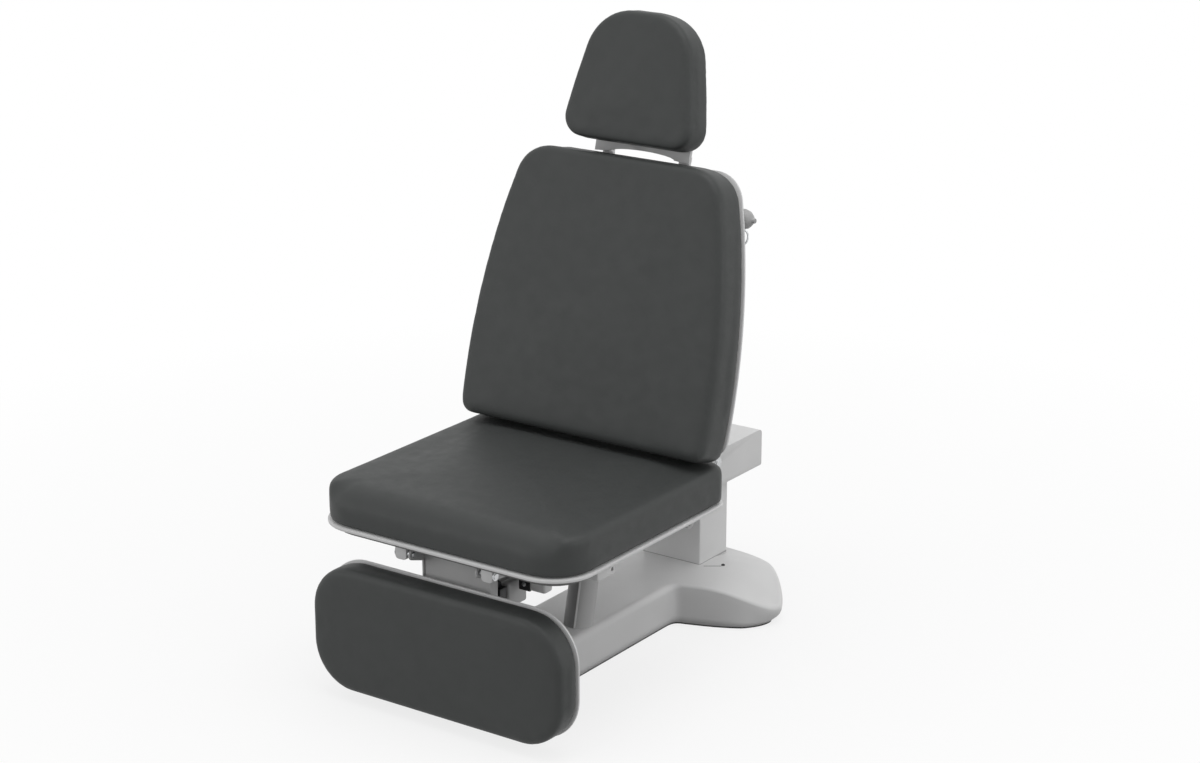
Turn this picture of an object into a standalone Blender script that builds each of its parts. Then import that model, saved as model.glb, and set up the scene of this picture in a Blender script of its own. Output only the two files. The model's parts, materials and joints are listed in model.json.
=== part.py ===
"""Power procedure chair on a floor base: metres, +Z up, the sitter faces -Y, the floor is Z = 0."""

import math

import bmesh
import bpy
from mathutils import Matrix, Vector

# Clearances: bolted or resting faces, round a pin or rod, and between faces that pass each other
GAP = 0.0003
PLAY = 0.0004
SLIP = 0.0025

# Sheet walls and pins
WALL = 0.004
PIN_R = 0.008
SMALL_PIN_R = 0.006
PIN_SIDES = 20

# Base: a straight beam with two flared wings at the rear
BEAM_HALF = 0.090
BEAM_TOP = 0.090
BEAM_FRONT = -0.365
WING_HALF = 0.292
WING_TIP_Y = 0.340
WING_ROOT_Y = 0.165
WING_FLAT = 0.140
WING_DROP = 0.045
REAR_DROP = 0.030
WING_TUCK = 0.024
BASE_REAR = 0.537
SHOULDER = 0.022
COVER_LIFT = 0.004
FOOT_H = 0.012
FOOT_R = 0.018
PLATE_T = 0.012
PLATE_HALF = BEAM_HALF - WALL - 0.010
PLATE_SPAN = 0.210
PLATE_ARM = 0.042

# Pedestal column
COLUMN_Y = 0.3995
COLUMN_HALF = 0.075
COLUMN_DEPTH = 0.109
POST_HALF = 0.060
POST_DEPTH = 0.074
POST_WALL = 0.008
POST_HEAD_R = 0.021

# Seat stack, from the rails up
RAIL_BOTTOM = 0.320
RAIL_H = 0.0265
RAIL_IN = 0.092
RAIL_W = 0.027
RAIL_WALL = 0.003
RAIL_FRONT = -0.454
RAIL_REAR = 0.060
PAN_T = 0.012
PAN_INSET = 0.020
TRAY_T = 0.008
TRAY_OUT = 0.0040
SEAT_HALF = 0.3095
SEAT_FRONT = -0.481
SEAT_REAR = 0.092
SEAT_EDGE_Z = 0.447
SEAT_FRONT_R = 0.086
SEAT_REAR_R = 0.042
SEAT_EDGE_R = 0.026
SEAT_CROWN = 0.007

# Lift arm, its parallel link and the bracket that carries the seat
BRACKET_T = 0.006
BRACKET_HALF = 0.050
BRACKET_CHEEK = 0.010
BRACKET_Y = -0.125
BRACKET_TOP_REACH = 0.040
BRACKET_LOW_REACH = 0.018
BRACKET_R = 0.014
BRACKET_FRONT = 0.075
BRACKET_REAR = 0.045
ARM_HALF = 0.083
ARM_H = 0.083
ARM_TAIL = 0.580
ARM_TAIL_R = 0.010
LINK_DROP = 0.038
LINK_HALF = 0.012
LINK_R = 0.013
LIFT_SWING = math.radians(30)

# Two-stage lift cylinder
CYL_X = 0.048
CYL_R = 0.030
STAGE_R = 0.024
ROD_R = 0.016
PUSH_Y = -0.026
PUSH_DROP = 0.018
CYL_TOP = 0.198
EYE_HALF = 0.010
LUG_T = 0.006

# Back
LEAN = math.radians(15.5)
BACK_Y = -0.0157
BACK_Z = 0.4682
BACK_LEN = 0.583
BACK_T = 0.088
BACK_HALF_LOW = 0.3095
BACK_HALF_MID = 0.3034
BACK_HALF_TOP = 0.2425
BACK_LOW_R = 0.030
BACK_TOP_R = 0.072
BACK_EDGE_R = 0.028
BACK_CROWN = 0.006
SHELL_T = 0.008
SHELL_OUT = -0.006
SHELL_LOW = 0.014
RECLINE_REACH = 0.187
RECLINE_SWING = math.radians(74)
ARM_X = 0.196
BACK_ARM_T = 0.008
BACK_ARM_W = 0.030
BACK_ARM_TOP = 0.320
HINGE_R = 0.014
PULL_R = 0.060

# Headrest
HEAD_GAP = 0.0245
HEAD_SET = 0.004
HEAD_LEN = 0.2726
HEAD_T = 0.070
HEAD_HALF_LOW = 0.1766
HEAD_HALF_TOP = 0.1218
HEAD_LOW_R = 0.0535
HEAD_TOP_R = 0.106
HEAD_EDGE_R = 0.030
HEAD_CROWN = 0.008
HEAD_PLATE_HALF = 0.080
STRAP_IN = 0.081
STRAP_W = 0.026
STRAP_T = 0.008
STRAP_FOOT = 0.395
GUIDE_FOOT = 0.375
GUIDE_WALL = 0.003
BAR_LOW = 0.588
BAR_ARCH = 0.010
BAR_TOP = 0.640
BAR_HALF = 0.116
BAR_T = 0.008
BAR_FLANGE = 0.006
LEDGE_HALF = 0.062
KNUCKLE_R = 0.009
KNUCKLE_HALF = 0.024
TILT_PIN_R = 0.0045

# Lock knob and hook
KNOB_S = 0.494
KNOB_R = 0.021
KNOB_X = 0.229
KNOB_LEN = 0.036
KNOB_STEM_R = 0.006
HOOK_S = 0.458
HOOK_H = 0.032
HOOK_X = 0.272
WIRE_R = 0.0022

# Leg rest
LEG_HINGE_Y = -0.445
LEG_HINGE_RISE = 0.013
LEG_SWING = math.radians(85)
LEG_FRONT = -0.4985
LEG_T = 0.062
LEG_LOW = 0.017
LEG_TOP = 0.286
LEG_HALF = 0.3095
LEG_CORNER_R = 0.098
LEG_EDGE_R = 0.025
LEG_CROWN = 0.004
LEG_TRAY_T = 0.008
LEG_TRAY_OUT = 0.001
CHEEK_T = 0.004
PANEL_Y = -0.4115
PUSH_ARM = 0.110
LEVER_T = 0.005
LEVER_IN = 0.0105

# Actuators
ACT_ROD_R = 0.008
ACT_TUBE_R = 0.016
HEAD_HALF = 0.009
LEG_ACT_X = 0.018
GEAR_HALF = 0.020
GEAR_LEN = 0.034
MOTOR_LEN = 0.060
SLOT_PLAY = 0.0035
PULL_X = 0.184

# The chair is centred between its foremost and rearmost points
FRAME_SHIFT = (ARM_TAIL + LEG_FRONT) / 2

# Levels and axes that follow from the sizes above
RAIL_TOP = RAIL_BOTTOM + RAIL_H
PAN_Z = RAIL_TOP + GAP
TRAY_Z = PAN_Z + PAN_T + GAP
SEAT_PAD_Z = TRAY_Z + TRAY_T + GAP
ARM_TOP = RAIL_TOP - BRACKET_T - SLIP
ARM_BOTTOM = ARM_TOP - ARM_H
PIVOT_Z = ARM_TOP - WALL - POST_HEAD_R - SLIP
PIVOT = Vector((0, COLUMN_Y, PIVOT_Z))
LINK_PIVOT = PIVOT - Vector((0, 0, LINK_DROP))
FORK = Vector((0, BRACKET_Y, PIVOT_Z))
LINK_END = FORK - Vector((0, 0, LINK_DROP))
PUSH = Vector((CYL_X, PUSH_Y, PIVOT_Z - PUSH_DROP))
COLUMN_TOP = ARM_BOTTOM - GAP
PLATE_Z = FOOT_H + GAP
PLATE_TOP = PLATE_Z + PLATE_T
LEG_HINGE = Vector((0, LEG_HINGE_Y, RAIL_BOTTOM + LEG_HINGE_RISE))
CHEEK_OUT = RAIL_IN - 0.0085
CHEEK_IN = CHEEK_OUT - CHEEK_T
LEG_TRAY_Y = LEG_FRONT + LEG_T + GAP
LEG_TRAY_BACK = LEG_TRAY_Y + LEG_TRAY_T
LEG_HALF_SWING = LEG_SWING / 2
LEG_PIN = LEG_HINGE + PUSH_ARM * Vector((0, math.sin(LEG_HALF_SWING), -math.cos(LEG_HALF_SWING)))
LEG_SLOT = PUSH_ARM * (1 - math.cos(LEG_HALF_SWING))
LEG_TRAVEL = 2 * PUSH_ARM * math.sin(LEG_HALF_SWING)
LEG_ROD_Z = LEG_PIN.z - LEG_SLOT / 2
SEAT_CORNER_Y = BACK_Y - (BACK_Z - SEAT_EDGE_Z) * math.tan(LEAN)
BISECTOR = math.radians(315) - LEAN / 2
RECLINE = Vector((
    0,
    SEAT_CORNER_Y + RECLINE_REACH * math.cos(BISECTOR),
    SEAT_EDGE_Z + RECLINE_REACH * math.sin(BISECTOR),
))
PULL_HALF = RECLINE_SWING / 2
PULL_PIN = RECLINE + PULL_R * Vector((0, math.sin(PULL_HALF), -math.cos(PULL_HALF)))
PULL_SLOT = PULL_R * (1 - math.cos(PULL_HALF))
PULL_TRAVEL = 2 * PULL_R * math.sin(PULL_HALF)
PULL_ROD_Z = PULL_PIN.z - PULL_SLOT / 2
SHELL_D = BACK_T + GAP
SHELL_BACK = SHELL_D + SHELL_T
STRAP_D = SHELL_BACK + GAP + GUIDE_WALL + PLAY
HEAD_S = BACK_LEN + HEAD_GAP
HEAD_PLATE_D = HEAD_SET + HEAD_T + GAP
TILT_D = STRAP_D + STRAP_T / 2
BAR_D = HEAD_PLATE_D + SHELL_T + 3 * GAP
TILT_S = BAR_TOP + GAP + KNUCKLE_R
KNOB_D = SHELL_BACK + KNOB_R + SLIP

# Colour, roughness and metallic of each finish
FINISHES = {
    "charcoal_vinyl": ((0.075, 0.080, 0.079), 0.45, 0.0),
    "white_tray": ((0.70, 0.70, 0.70), 0.40, 0.0),
    "light_grey_paint": ((0.42, 0.42, 0.42), 0.42, 0.0),
    "mid_grey_paint": ((0.20, 0.20, 0.20), 0.45, 0.0),
    "steel": ((0.55, 0.56, 0.57), 0.28, 1.0),
    "black_plastic": ((0.015, 0.015, 0.016), 0.40, 0.0),
    "rubber": ((0.02, 0.02, 0.02), 0.80, 0.0),
}

for leftover in list(bpy.data.objects):
    bpy.data.objects.remove(leftover)

PARTS = bpy.data.collections.new("procedure_chair")
CUTTERS = bpy.data.collections.new("cutters")
bpy.context.scene.collection.children.link(PARTS)
bpy.context.scene.collection.children.link(CUTTERS)


class Frame:
    """A piece of the mechanism: an empty on its joint axis, and the design point that lies there."""

    def __init__(self, name, origin, parent=None, at=None, tilt=0.0):
        self.origin = Vector(origin)
        self.empty = bpy.data.objects.new(name, None)
        self.empty.empty_display_size = 0.03
        PARTS.objects.link(self.empty)
        self.empty.rotation_euler.x = tilt
        if parent:
            self.empty.parent = parent.empty
            self.empty.location = Vector(at if at is not None else origin) - parent.origin


def finish_material(name, finish):
    colour, roughness, metallic = FINISHES[finish]
    material = bpy.data.materials.new(name + "_" + finish)
    material.use_nodes = True
    shader = material.node_tree.nodes["Principled BSDF"]
    shader.inputs["Base Color"].default_value = (*colour, 1)
    shader.inputs["Roughness"].default_value = roughness
    shader.inputs["Metallic"].default_value = metallic
    material.diffuse_color = (*colour, 1)
    return material


def solid(name, mesh, finish, frame):
    """An object on a frame from a bmesh in design coordinates. With no finish it is a cutter."""
    bmesh.ops.translate(mesh, verts=mesh.verts, vec=-frame.origin)
    bmesh.ops.recalc_face_normals(mesh, faces=mesh.faces)
    data = bpy.data.meshes.new(name)
    mesh.to_mesh(data)
    mesh.free()
    part = bpy.data.objects.new(name, data)
    part.parent = frame.empty
    if finish:
        PARTS.objects.link(part)
        data.materials.append(finish_material(name, finish))
    else:
        CUTTERS.objects.link(part)
        part.hide_render = True
        part.display_type = "WIRE"
    return part


def box(name, low, high, finish, frame):
    low = Vector(low)
    high = Vector(high)
    mesh = bmesh.new()
    size = Matrix.Diagonal((*(high - low), 1))
    bmesh.ops.create_cube(mesh, size=1, matrix=Matrix.Translation((low + high) / 2) @ size)
    return solid(name, mesh, finish, frame)


def pin(name, start, end, radius, finish, frame, sides=PIN_SIDES):
    start = Vector(start)
    end = Vector(end)
    along = end - start
    turn = Vector((0, 0, 1)).rotation_difference(along).to_matrix().to_4x4()
    mesh = bmesh.new()
    bmesh.ops.create_cone(
        mesh, cap_ends=True, segments=sides, radius1=radius, radius2=radius, depth=along.length,
        matrix=Matrix.Translation((start + end) / 2) @ turn,
    )
    return solid(name, mesh, finish, frame)


def outline_mesh(name, loops, thickness):
    """A flat outline with its holes, filled and thickened, as a mesh."""
    curve = bpy.data.curves.new(name + "_outline", "CURVE")
    curve.dimensions = "2D"
    curve.fill_mode = "BOTH"
    curve.extrude = thickness / 2
    for loop in loops:
        spline = curve.splines.new("POLY")
        spline.points.add(len(loop) - 1)
        for point, (u, v) in zip(spline.points, loop):
            point.co = (u, v, 0, 1)
        spline.use_cyclic_u = True
    holder = bpy.data.objects.new(name + "_outline", curve)
    CUTTERS.objects.link(holder)
    bpy.context.view_layer.update()
    data = bpy.data.meshes.new_from_object(holder.evaluated_get(bpy.context.evaluated_depsgraph_get()))
    bpy.data.objects.remove(holder)
    bpy.data.curves.remove(curve)
    mesh = bmesh.new()
    mesh.from_mesh(data)
    bpy.data.meshes.remove(data)
    bmesh.ops.remove_doubles(mesh, verts=mesh.verts, dist=1e-6)
    return mesh


def prism(name, loops, axis, low, high, finish, frame):
    """A flat outline thickened along one axis. Its points are the other two axes in order."""
    mesh = outline_mesh(name, loops, high - low)
    order = {"X": (2, 0, 1), "Y": (0, 2, 1), "Z": (0, 1, 2)}[axis]
    middle = (low + high) / 2
    for vertex in mesh.verts:
        u, v, w = vertex.co
        vertex.co = [(u, v, w + middle)[index] for index in order]
    return solid(name, mesh, finish, frame)


def turned(name, profile, finish, frame, at, tilt=(0, 0, 0), steps=24):
    """A turned piece from (radius, height) points that run from the top down, on the axis through a point."""
    mesh = bmesh.new()
    points = [mesh.verts.new((radius, 0, height)) for radius, height in profile]
    for one, two in zip(points, points[1:]):
        mesh.edges.new((one, two))
    data = bpy.data.meshes.new(name)
    mesh.to_mesh(data)
    mesh.free()
    part = bpy.data.objects.new(name, data)
    PARTS.objects.link(part)
    part.parent = frame.empty
    part.location = Vector(at) - frame.origin
    part.rotation_euler = tilt
    spin = part.modifiers.new("spin", "SCREW")
    spin.steps = steps
    spin.render_steps = steps
    spin.use_merge_vertices = True
    spin.merge_threshold = 0.0001
    data.materials.append(finish_material(name, finish))
    return part


def boolean(part, other, operation="DIFFERENCE"):
    change = part.modifiers.new(operation.lower() + "_" + other.name, "BOOLEAN")
    change.operation = operation
    change.solver = "EXACT"
    change.object = other


def bevel(part, width, segments=2, angle=40):
    edge = part.modifiers.new("edges", "BEVEL")
    edge.width = width
    edge.segments = segments
    edge.limit_method = "ANGLE"
    edge.angle_limit = math.radians(angle)


def circle(centre, radius, sides=PIN_SIDES):
    turns = [2 * math.pi * step / sides for step in range(sides)]
    return [(centre[0] + radius * math.cos(turn), centre[1] + radius * math.sin(turn)) for turn in turns]


def rounded(corners, steps=6):
    """A closed outline from (u, v, radius) corners."""
    loop = []
    for index, (u, v, radius) in enumerate(corners):
        here = Vector((u, v))
        if not radius:
            loop.append((u, v))
            continue
        before = (Vector(corners[index - 1][:2]) - here).normalized()
        after = (Vector(corners[(index + 1) % len(corners)][:2]) - here).normalized()
        half = before.angle(after) / 2
        centre = here + (before + after).normalized() * radius / math.sin(half)
        first = here + before * radius / math.tan(half) - centre
        last = here + after * radius / math.tan(half) - centre
        sweep = first.angle_signed(last)
        for step in range(steps + 1):
            turn = Matrix.Rotation(-sweep * step / steps, 2)
            loop.append(tuple(centre + turn @ first))
    return loop


def slotted(centre, half_length, radius, vertical=True, sides=8):
    """A round-ended slot."""
    turns = [math.pi * step / sides for step in range(sides + 1)]
    loop = []
    for side, start in ((1, 0), (-1, math.pi)):
        for turn in turns:
            along = side * half_length + radius * math.sin(start + turn)
            across = radius * math.cos(start + turn)
            offset = (across, along) if vertical else (along, -across)
            loop.append((centre[0] + offset[0], centre[1] + offset[1]))
    return loop


def inset(loop, distance):
    """The outline moved inwards."""
    points = [Vector(point) for point in loop]
    area = sum(one.x * two.y - two.x * one.y for one, two in zip(points, points[1:] + points[:1]))
    side = 1 if area > 0 else -1
    moved = []
    for index, point in enumerate(points):
        along = (points[(index + 1) % len(points)] - points[index - 1]).normalized()
        moved.append(point + Vector((-along.y, along.x)) * distance * side)
    return moved


def cushion(name, loop, thickness, edge, crown, tuck, place, frame):
    """An upholstered pad: tucked in under the edge, drawn-in side, round edge, crowned face."""
    rings = []
    for step in range(3):
        turn = math.pi / 2 * step / 3
        rings.append((inset(loop, tuck * (1 - math.sin(turn))), tuck * (1 - math.cos(turn))))
    for step in range(5):
        turn = math.pi / 2 * step / 4
        rings.append((inset(loop, edge * (1 - math.cos(turn))), thickness - edge + edge * math.sin(turn)))
    rim = rings[-1][0]
    middle = sum(rim, Vector((0, 0))) / len(rim)
    for share in (0.8, 0.55, 0.28):
        ring = [middle + (point - middle) * share for point in rim]
        rings.append((ring, thickness + crown * (1 - share * share)))
    mesh = bmesh.new()
    levels = [
        [mesh.verts.new(place(point.x, point.y, height)) for point in ring] for ring, height in rings
    ]
    for low, high in zip(levels, levels[1:]):
        for index in range(len(low)):
            following = (index + 1) % len(low)
            mesh.faces.new((low[index], low[following], high[following], high[index]))
    mesh.faces.new(levels[0])
    peak = mesh.verts.new(place(middle.x, middle.y, thickness + crown))
    for index in range(len(levels[-1])):
        mesh.faces.new((levels[-1][index], levels[-1][(index + 1) % len(levels[-1])], peak))
    part = solid(name, mesh, "charcoal_vinyl", frame)
    for face in part.data.polygons:
        face.use_smooth = True
    return part


def sides_of(half_low, half_mid, half_top, length, low_radius, top_radius, grow=0.0, low=0.0):
    """A pad outline whose half width follows a parabola up its length."""
    right = []
    for share in (0.0, 0.22, 0.42, 0.60, 1.0):
        half = half_low * (1 - share) * (1 - 2 * share)
        half += 4 * half_mid * share * (1 - share) + half_top * share * (2 * share - 1)
        radius = {0.0: low_radius + grow, 1.0: top_radius + grow}.get(share, 0)
        right.append((half + grow, low + share * (length + grow - low), radius))
    return rounded(right + [(-u, v, radius) for u, v, radius in reversed(right)])


def bezier(one, two, three, four, count):
    """Points along a cubic curve, without its first."""
    corners = (one, two, three, four)
    points = []
    for step in range(1, count + 1):
        t = step / count
        weights = ((1 - t) ** 3, 3 * t * (1 - t) ** 2, 3 * t * t * (1 - t), t**3)
        points.append(
            sum((share * Vector(point) for share, point in zip(weights, corners)), Vector((0, 0)))
        )
    return points


def side_of(point):
    """The (y, z) of a design point, for outlines thickened along X."""
    return (point[1], point[2])


def in_back(point):
    """(x, depth behind the front face, distance up the back) of a chair point."""
    y = point[1] - BACK_Y
    z = point[2] - BACK_Z
    across = y * math.cos(LEAN) - z * math.sin(LEAN)
    return Vector((point[0], across, y * math.sin(LEAN) + z * math.cos(LEAN)))


def push_at(swing):
    """Where the push pin lies when the arm has swung up."""
    away = PUSH - Vector((CYL_X, PIVOT.y, PIVOT.z))
    return PIVOT + Vector((
        CYL_X,
        away.y * math.cos(swing) + away.z * math.sin(swing),
        away.z * math.cos(swing) - away.y * math.sin(swing),
    ))


CHORD = push_at(LIFT_SWING) - PUSH
CYL_LEAN = math.atan2(CHORD.y, CHORD.z)
CYL_TRAVEL = CHORD.length
CYL_BOW = (PUSH - PIVOT - Vector((CYL_X, 0, 0))).length * (1 - math.cos(LIFT_SWING / 2))
CYL_FOOT = PUSH - CHORD.normalized() * (PUSH.z - PLATE_TOP - 0.010) / math.cos(CYL_LEAN)
PUSH_REACH = (PUSH - CYL_FOOT).length

# Joint frames
chair = Frame("procedure_chair_origin", (0, FRAME_SHIFT, 0))
arm = Frame("joint_lift_arm", PIVOT, chair)
link = Frame("joint_lift_link", LINK_PIVOT, chair)
cylinder = Frame("lift_cylinder_axis", (0, 0, 0), chair, at=CYL_FOOT, tilt=-CYL_LEAN)
stage = Frame("joint_lift_stage", (0, 0, 0), cylinder)
rod = Frame("joint_lift_rod", (0, 0, 0), stage)
seat = Frame("joint_seat_level", FORK, arm)
back = Frame("joint_back_recline", in_back(RECLINE), seat, at=RECLINE, tilt=-LEAN)
leg = Frame("joint_leg_rest", LEG_HINGE, seat)
leg_rod = Frame("joint_leg_rod", LEG_PIN, seat)
pull_rod = Frame("joint_recline_rod", PULL_PIN, seat)
straps = Frame("joint_headrest_height", (0, TILT_D, BAR_LOW), back)
head = Frame("joint_headrest_tilt", (0, TILT_D, TILT_S), straps)
knob = Frame("joint_lock_knob", (KNOB_X, KNOB_D, KNOB_S), back)


# Base cover: sections from the outline in to a centre ridge, mirrored, smoothed and given a wall
def cover_height(x, y):
    out = max(0.0, x - WING_FLAT) / (WING_HALF - WING_FLAT)
    behind = max(0.0, y - COLUMN_Y) / (BASE_REAR - COLUMN_Y)
    return BEAM_TOP - max(WING_DROP * out * out, REAR_DROP * behind)


NOSE_R = 0.030
outline = [(0, BEAM_FRONT), (BEAM_HALF - NOSE_R, BEAM_FRONT), (BEAM_HALF, BEAM_FRONT + NOSE_R)]
outline += [(BEAM_HALF, BEAM_FRONT * 0.4), (BEAM_HALF, WING_ROOT_Y * 0.3), (BEAM_HALF, WING_ROOT_Y)]
outline += bezier(
    outline[-1], (BEAM_HALF, WING_ROOT_Y + 0.048), (BEAM_HALF + 0.016, WING_ROOT_Y + 0.048),
    (WING_HALF - 0.050, WING_TIP_Y - 0.048), 5,
)
tip = (WING_HALF, WING_TIP_Y)
outline += [tip]
outline += bezier(
    tip, (WING_HALF - 0.01, WING_TIP_Y + 0.075), (WING_HALF * 0.5, BASE_REAR), (0, BASE_REAR), 6,
)
ridge_front = BEAM_FRONT + 0.060
ridge_rear = BASE_REAR - 0.060
mesh = bmesh.new()
ridges = {}
sections = []
for x, y in outline:
    ridge_y = min(max(y, ridge_front), ridge_rear)
    if ridge_y not in ridges:
        ridges[ridge_y] = mesh.verts.new((0, ridge_y, BEAM_TOP))
    inward = (Vector((0, ridge_y)) - Vector((x, y))).normalized()
    tuck = WING_TUCK * max(0.0, x - BEAM_HALF) / (WING_HALF - BEAM_HALF)
    top = cover_height(x, y)
    section = []
    steps = ((tuck, COVER_LIFT), (tuck * 0.35, top * 0.40), (0, top - SHOULDER), (SHOULDER * 0.6, top))
    for shift, z in steps:
        section.append(mesh.verts.new((*(Vector((x, y)) + inward * shift), z)))
    half = (Vector((x, y)) + Vector((0, ridge_y))) / 2
    section.append(mesh.verts.new((*half, cover_height(half.x, half.y))))
    sections.append(section + [ridges[ridge_y]])
for one, two in zip(sections, sections[1:]):
    for row in range(len(one) - 1):
        corners = [one[row], two[row], two[row + 1], one[row + 1]]
        mesh.faces.new(list(dict.fromkeys(corners)))
for vertex in mesh.verts:
    if abs(vertex.co.x) < 1e-6:
        vertex.co.x = 0
base_cover = solid("base_cover", mesh, "light_grey_paint", chair)
halves = base_cover.modifiers.new("halves", "MIRROR")
halves.merge_threshold = 0.0001
halves.use_clip = True
smooth = base_cover.modifiers.new("smooth", "SUBSURF")
smooth.levels = 1
smooth.render_levels = 1
shell_wall = base_cover.modifiers.new("wall", "SOLIDIFY")
shell_wall.thickness = WALL
shell_wall.offset = -1
column_hole = box(
    "column_hole_cutter",
    (-COLUMN_HALF - 2 * GAP, COLUMN_Y - COLUMN_DEPTH / 2 - 2 * GAP, PLATE_TOP),
    (COLUMN_HALF + 2 * GAP, COLUMN_Y + COLUMN_DEPTH / 2 + 2 * GAP, BEAM_TOP + 0.05), None, chair,
)
boolean(base_cover, column_hole)
cylinder_hole = pin("cylinder_hole_cutter", (0, 0, 0.03), (0, 0, 0.15), CYL_R + SLIP, None, cylinder, 32)
boolean(base_cover, cylinder_hole)

# Floor plate: a spine under the beam and an arm out to each wing, on four levelling feet
wing_mid = WING_TIP_Y + 0.018
arm_low = wing_mid - PLATE_ARM / 2
arm_high = wing_mid + PLATE_ARM / 2
spine_front = BEAM_FRONT + 0.045
spine_rear = COLUMN_Y + COLUMN_DEPTH / 2 + 0.004
half_plate = [
    (PLATE_HALF, spine_front), (PLATE_HALF, arm_low), (PLATE_SPAN, arm_low), (PLATE_SPAN, arm_high),
]
half_plate += [(PLATE_HALF, arm_high), (PLATE_HALF, spine_rear)]
plate_loop = half_plate + [(-x, y) for x, y in reversed(half_plate)]
prism("floor_plate", [plate_loop], "Z", PLATE_Z, PLATE_TOP, "mid_grey_paint", chair)
foot_spots = {
    "front_left": (-PLATE_HALF + FOOT_R, spine_front + FOOT_R),
    "front_right": (PLATE_HALF - FOOT_R, spine_front + FOOT_R),
    "rear_left": (-PLATE_SPAN + FOOT_R, wing_mid),
    "rear_right": (PLATE_SPAN - FOOT_R, wing_mid),
}
for corner, (x, y) in foot_spots.items():
    foot_profile = [(0, FOOT_H), (FOOT_R * 0.6, FOOT_H), (FOOT_R, FOOT_H * 0.4), (FOOT_R, 0), (0, 0)]
    turned("foot_" + corner, foot_profile, "rubber", chair, (x, y, 0), steps=16)

box(
    "cover_support", (-BEAM_HALF / 2, BEAM_FRONT * 0.62, PLATE_TOP + GAP),
    (BEAM_HALF / 2, BEAM_FRONT * 0.52, BEAM_TOP - WALL - GAP),
    "mid_grey_paint", chair,
)

# Pedestal: a fork-headed post inside a square cover
post_low = COLUMN_Y - POST_DEPTH / 2
post_high = COLUMN_Y + POST_DEPTH / 2
post_neck = LINK_PIVOT.z - LINK_R
neck_half = POST_HEAD_R
head_arc = [math.pi * step / 10 for step in range(11)]
post_loop = [(post_low, PLATE_TOP + GAP), (post_high, PLATE_TOP + GAP), (post_high, post_neck)]
post_loop += [
    (COLUMN_Y + neck_half * math.cos(turn), PIVOT_Z + POST_HEAD_R * math.sin(turn)) for turn in head_arc
]
post_loop += [(post_low, post_neck)]
post_holes = [circle(side_of(PIVOT), PIN_R + PLAY), circle(side_of(LINK_PIVOT), PIN_R + PLAY)]
post = prism(
    "pedestal_post", [post_loop] + post_holes, "X", -POST_HALF, POST_HALF, "mid_grey_paint", chair,
)
post_slot = box(
    "post_slot_cutter", (-POST_HALF + POST_WALL, post_low - 0.01, PLATE_TOP + 0.030),
    (POST_HALF - POST_WALL, post_high + 0.01, ARM_TOP + 0.01), None, chair,
)
boolean(post, post_slot)
column = box(
    "pedestal_cover", (-COLUMN_HALF, COLUMN_Y - COLUMN_DEPTH / 2, PLATE_TOP + GAP),
    (COLUMN_HALF, COLUMN_Y + COLUMN_DEPTH / 2, COLUMN_TOP), "light_grey_paint", chair,
)
column_bore = box(
    "column_bore_cutter", (-COLUMN_HALF + WALL, COLUMN_Y - COLUMN_DEPTH / 2 + WALL, 0),
    (COLUMN_HALF - WALL, COLUMN_Y + COLUMN_DEPTH / 2 - WALL, ARM_TOP), None, chair,
)
bevel(column, 0.003)
boolean(column, column_bore)
pin_out = ARM_HALF + 0.0035
pin("arm_pin", (-pin_out, *side_of(PIVOT)), (pin_out, *side_of(PIVOT)), PIN_R, "steel", chair)
link_pin_out = POST_HALF + 0.003
pin(
    "link_pin", (-link_pin_out, *side_of(LINK_PIVOT)), (link_pin_out, *side_of(LINK_PIVOT)), PIN_R,
    "steel", chair,
)

# Lift cylinder: fixed barrel, middle stage and rod with a slotted eye
barrel = pin("lift_barrel", (0, 0, -0.03), (0, 0, CYL_TOP), CYL_R, "mid_grey_paint", cylinder, 32)
barrel_bore = pin(
    "barrel_bore_cutter", (0, 0, 0.012), (0, 0, CYL_TOP + 0.02), STAGE_R + 1.5 * PLAY, None, cylinder, 32,
)
barrel_foot = box("barrel_foot_cutter", (-0.2, -0.4, -0.3), (0.3, 0.3, PLATE_TOP + GAP), None, chair)
boolean(barrel, barrel_bore)
boolean(barrel, barrel_foot)
stage_top = CYL_TOP + 0.010
stage_low = 0.016
middle_stage = pin("lift_stage", (0, 0, stage_low), (0, 0, stage_top), STAGE_R, "steel", stage, 32)
stage_bore = pin(
    "stage_bore_cutter", (0, 0, stage_low + 0.008), (0, 0, stage_top + 0.02), ROD_R + 1.5 * PLAY, None,
    stage, 32
)
boolean(middle_stage, stage_bore)
rod_top = PUSH_REACH - 0.026
lift_rod = pin("lift_rod", (0, 0, stage_low + 0.012), (0, 0, rod_top), ROD_R, "steel", rod, 24)
eye_rise = PIN_R + SLIP + 0.007
eye_loop = rounded([
    (-CYL_BOW - eye_rise, rod_top - 0.004, 0), (eye_rise, rod_top - 0.004, 0),
    (eye_rise, PUSH_REACH + eye_rise, 0.008), (-CYL_BOW - eye_rise, PUSH_REACH + eye_rise, 0.008),
])
eye_slot = slotted((-CYL_BOW / 2, PUSH_REACH), CYL_BOW / 2 + PLAY, PIN_R + SLIP / 2, vertical=False)
lift_eye = prism("lift_eye_helper", [eye_loop, eye_slot], "X", -EYE_HALF, EYE_HALF, None, rod)
boolean(lift_rod, lift_eye, "UNION")

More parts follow.
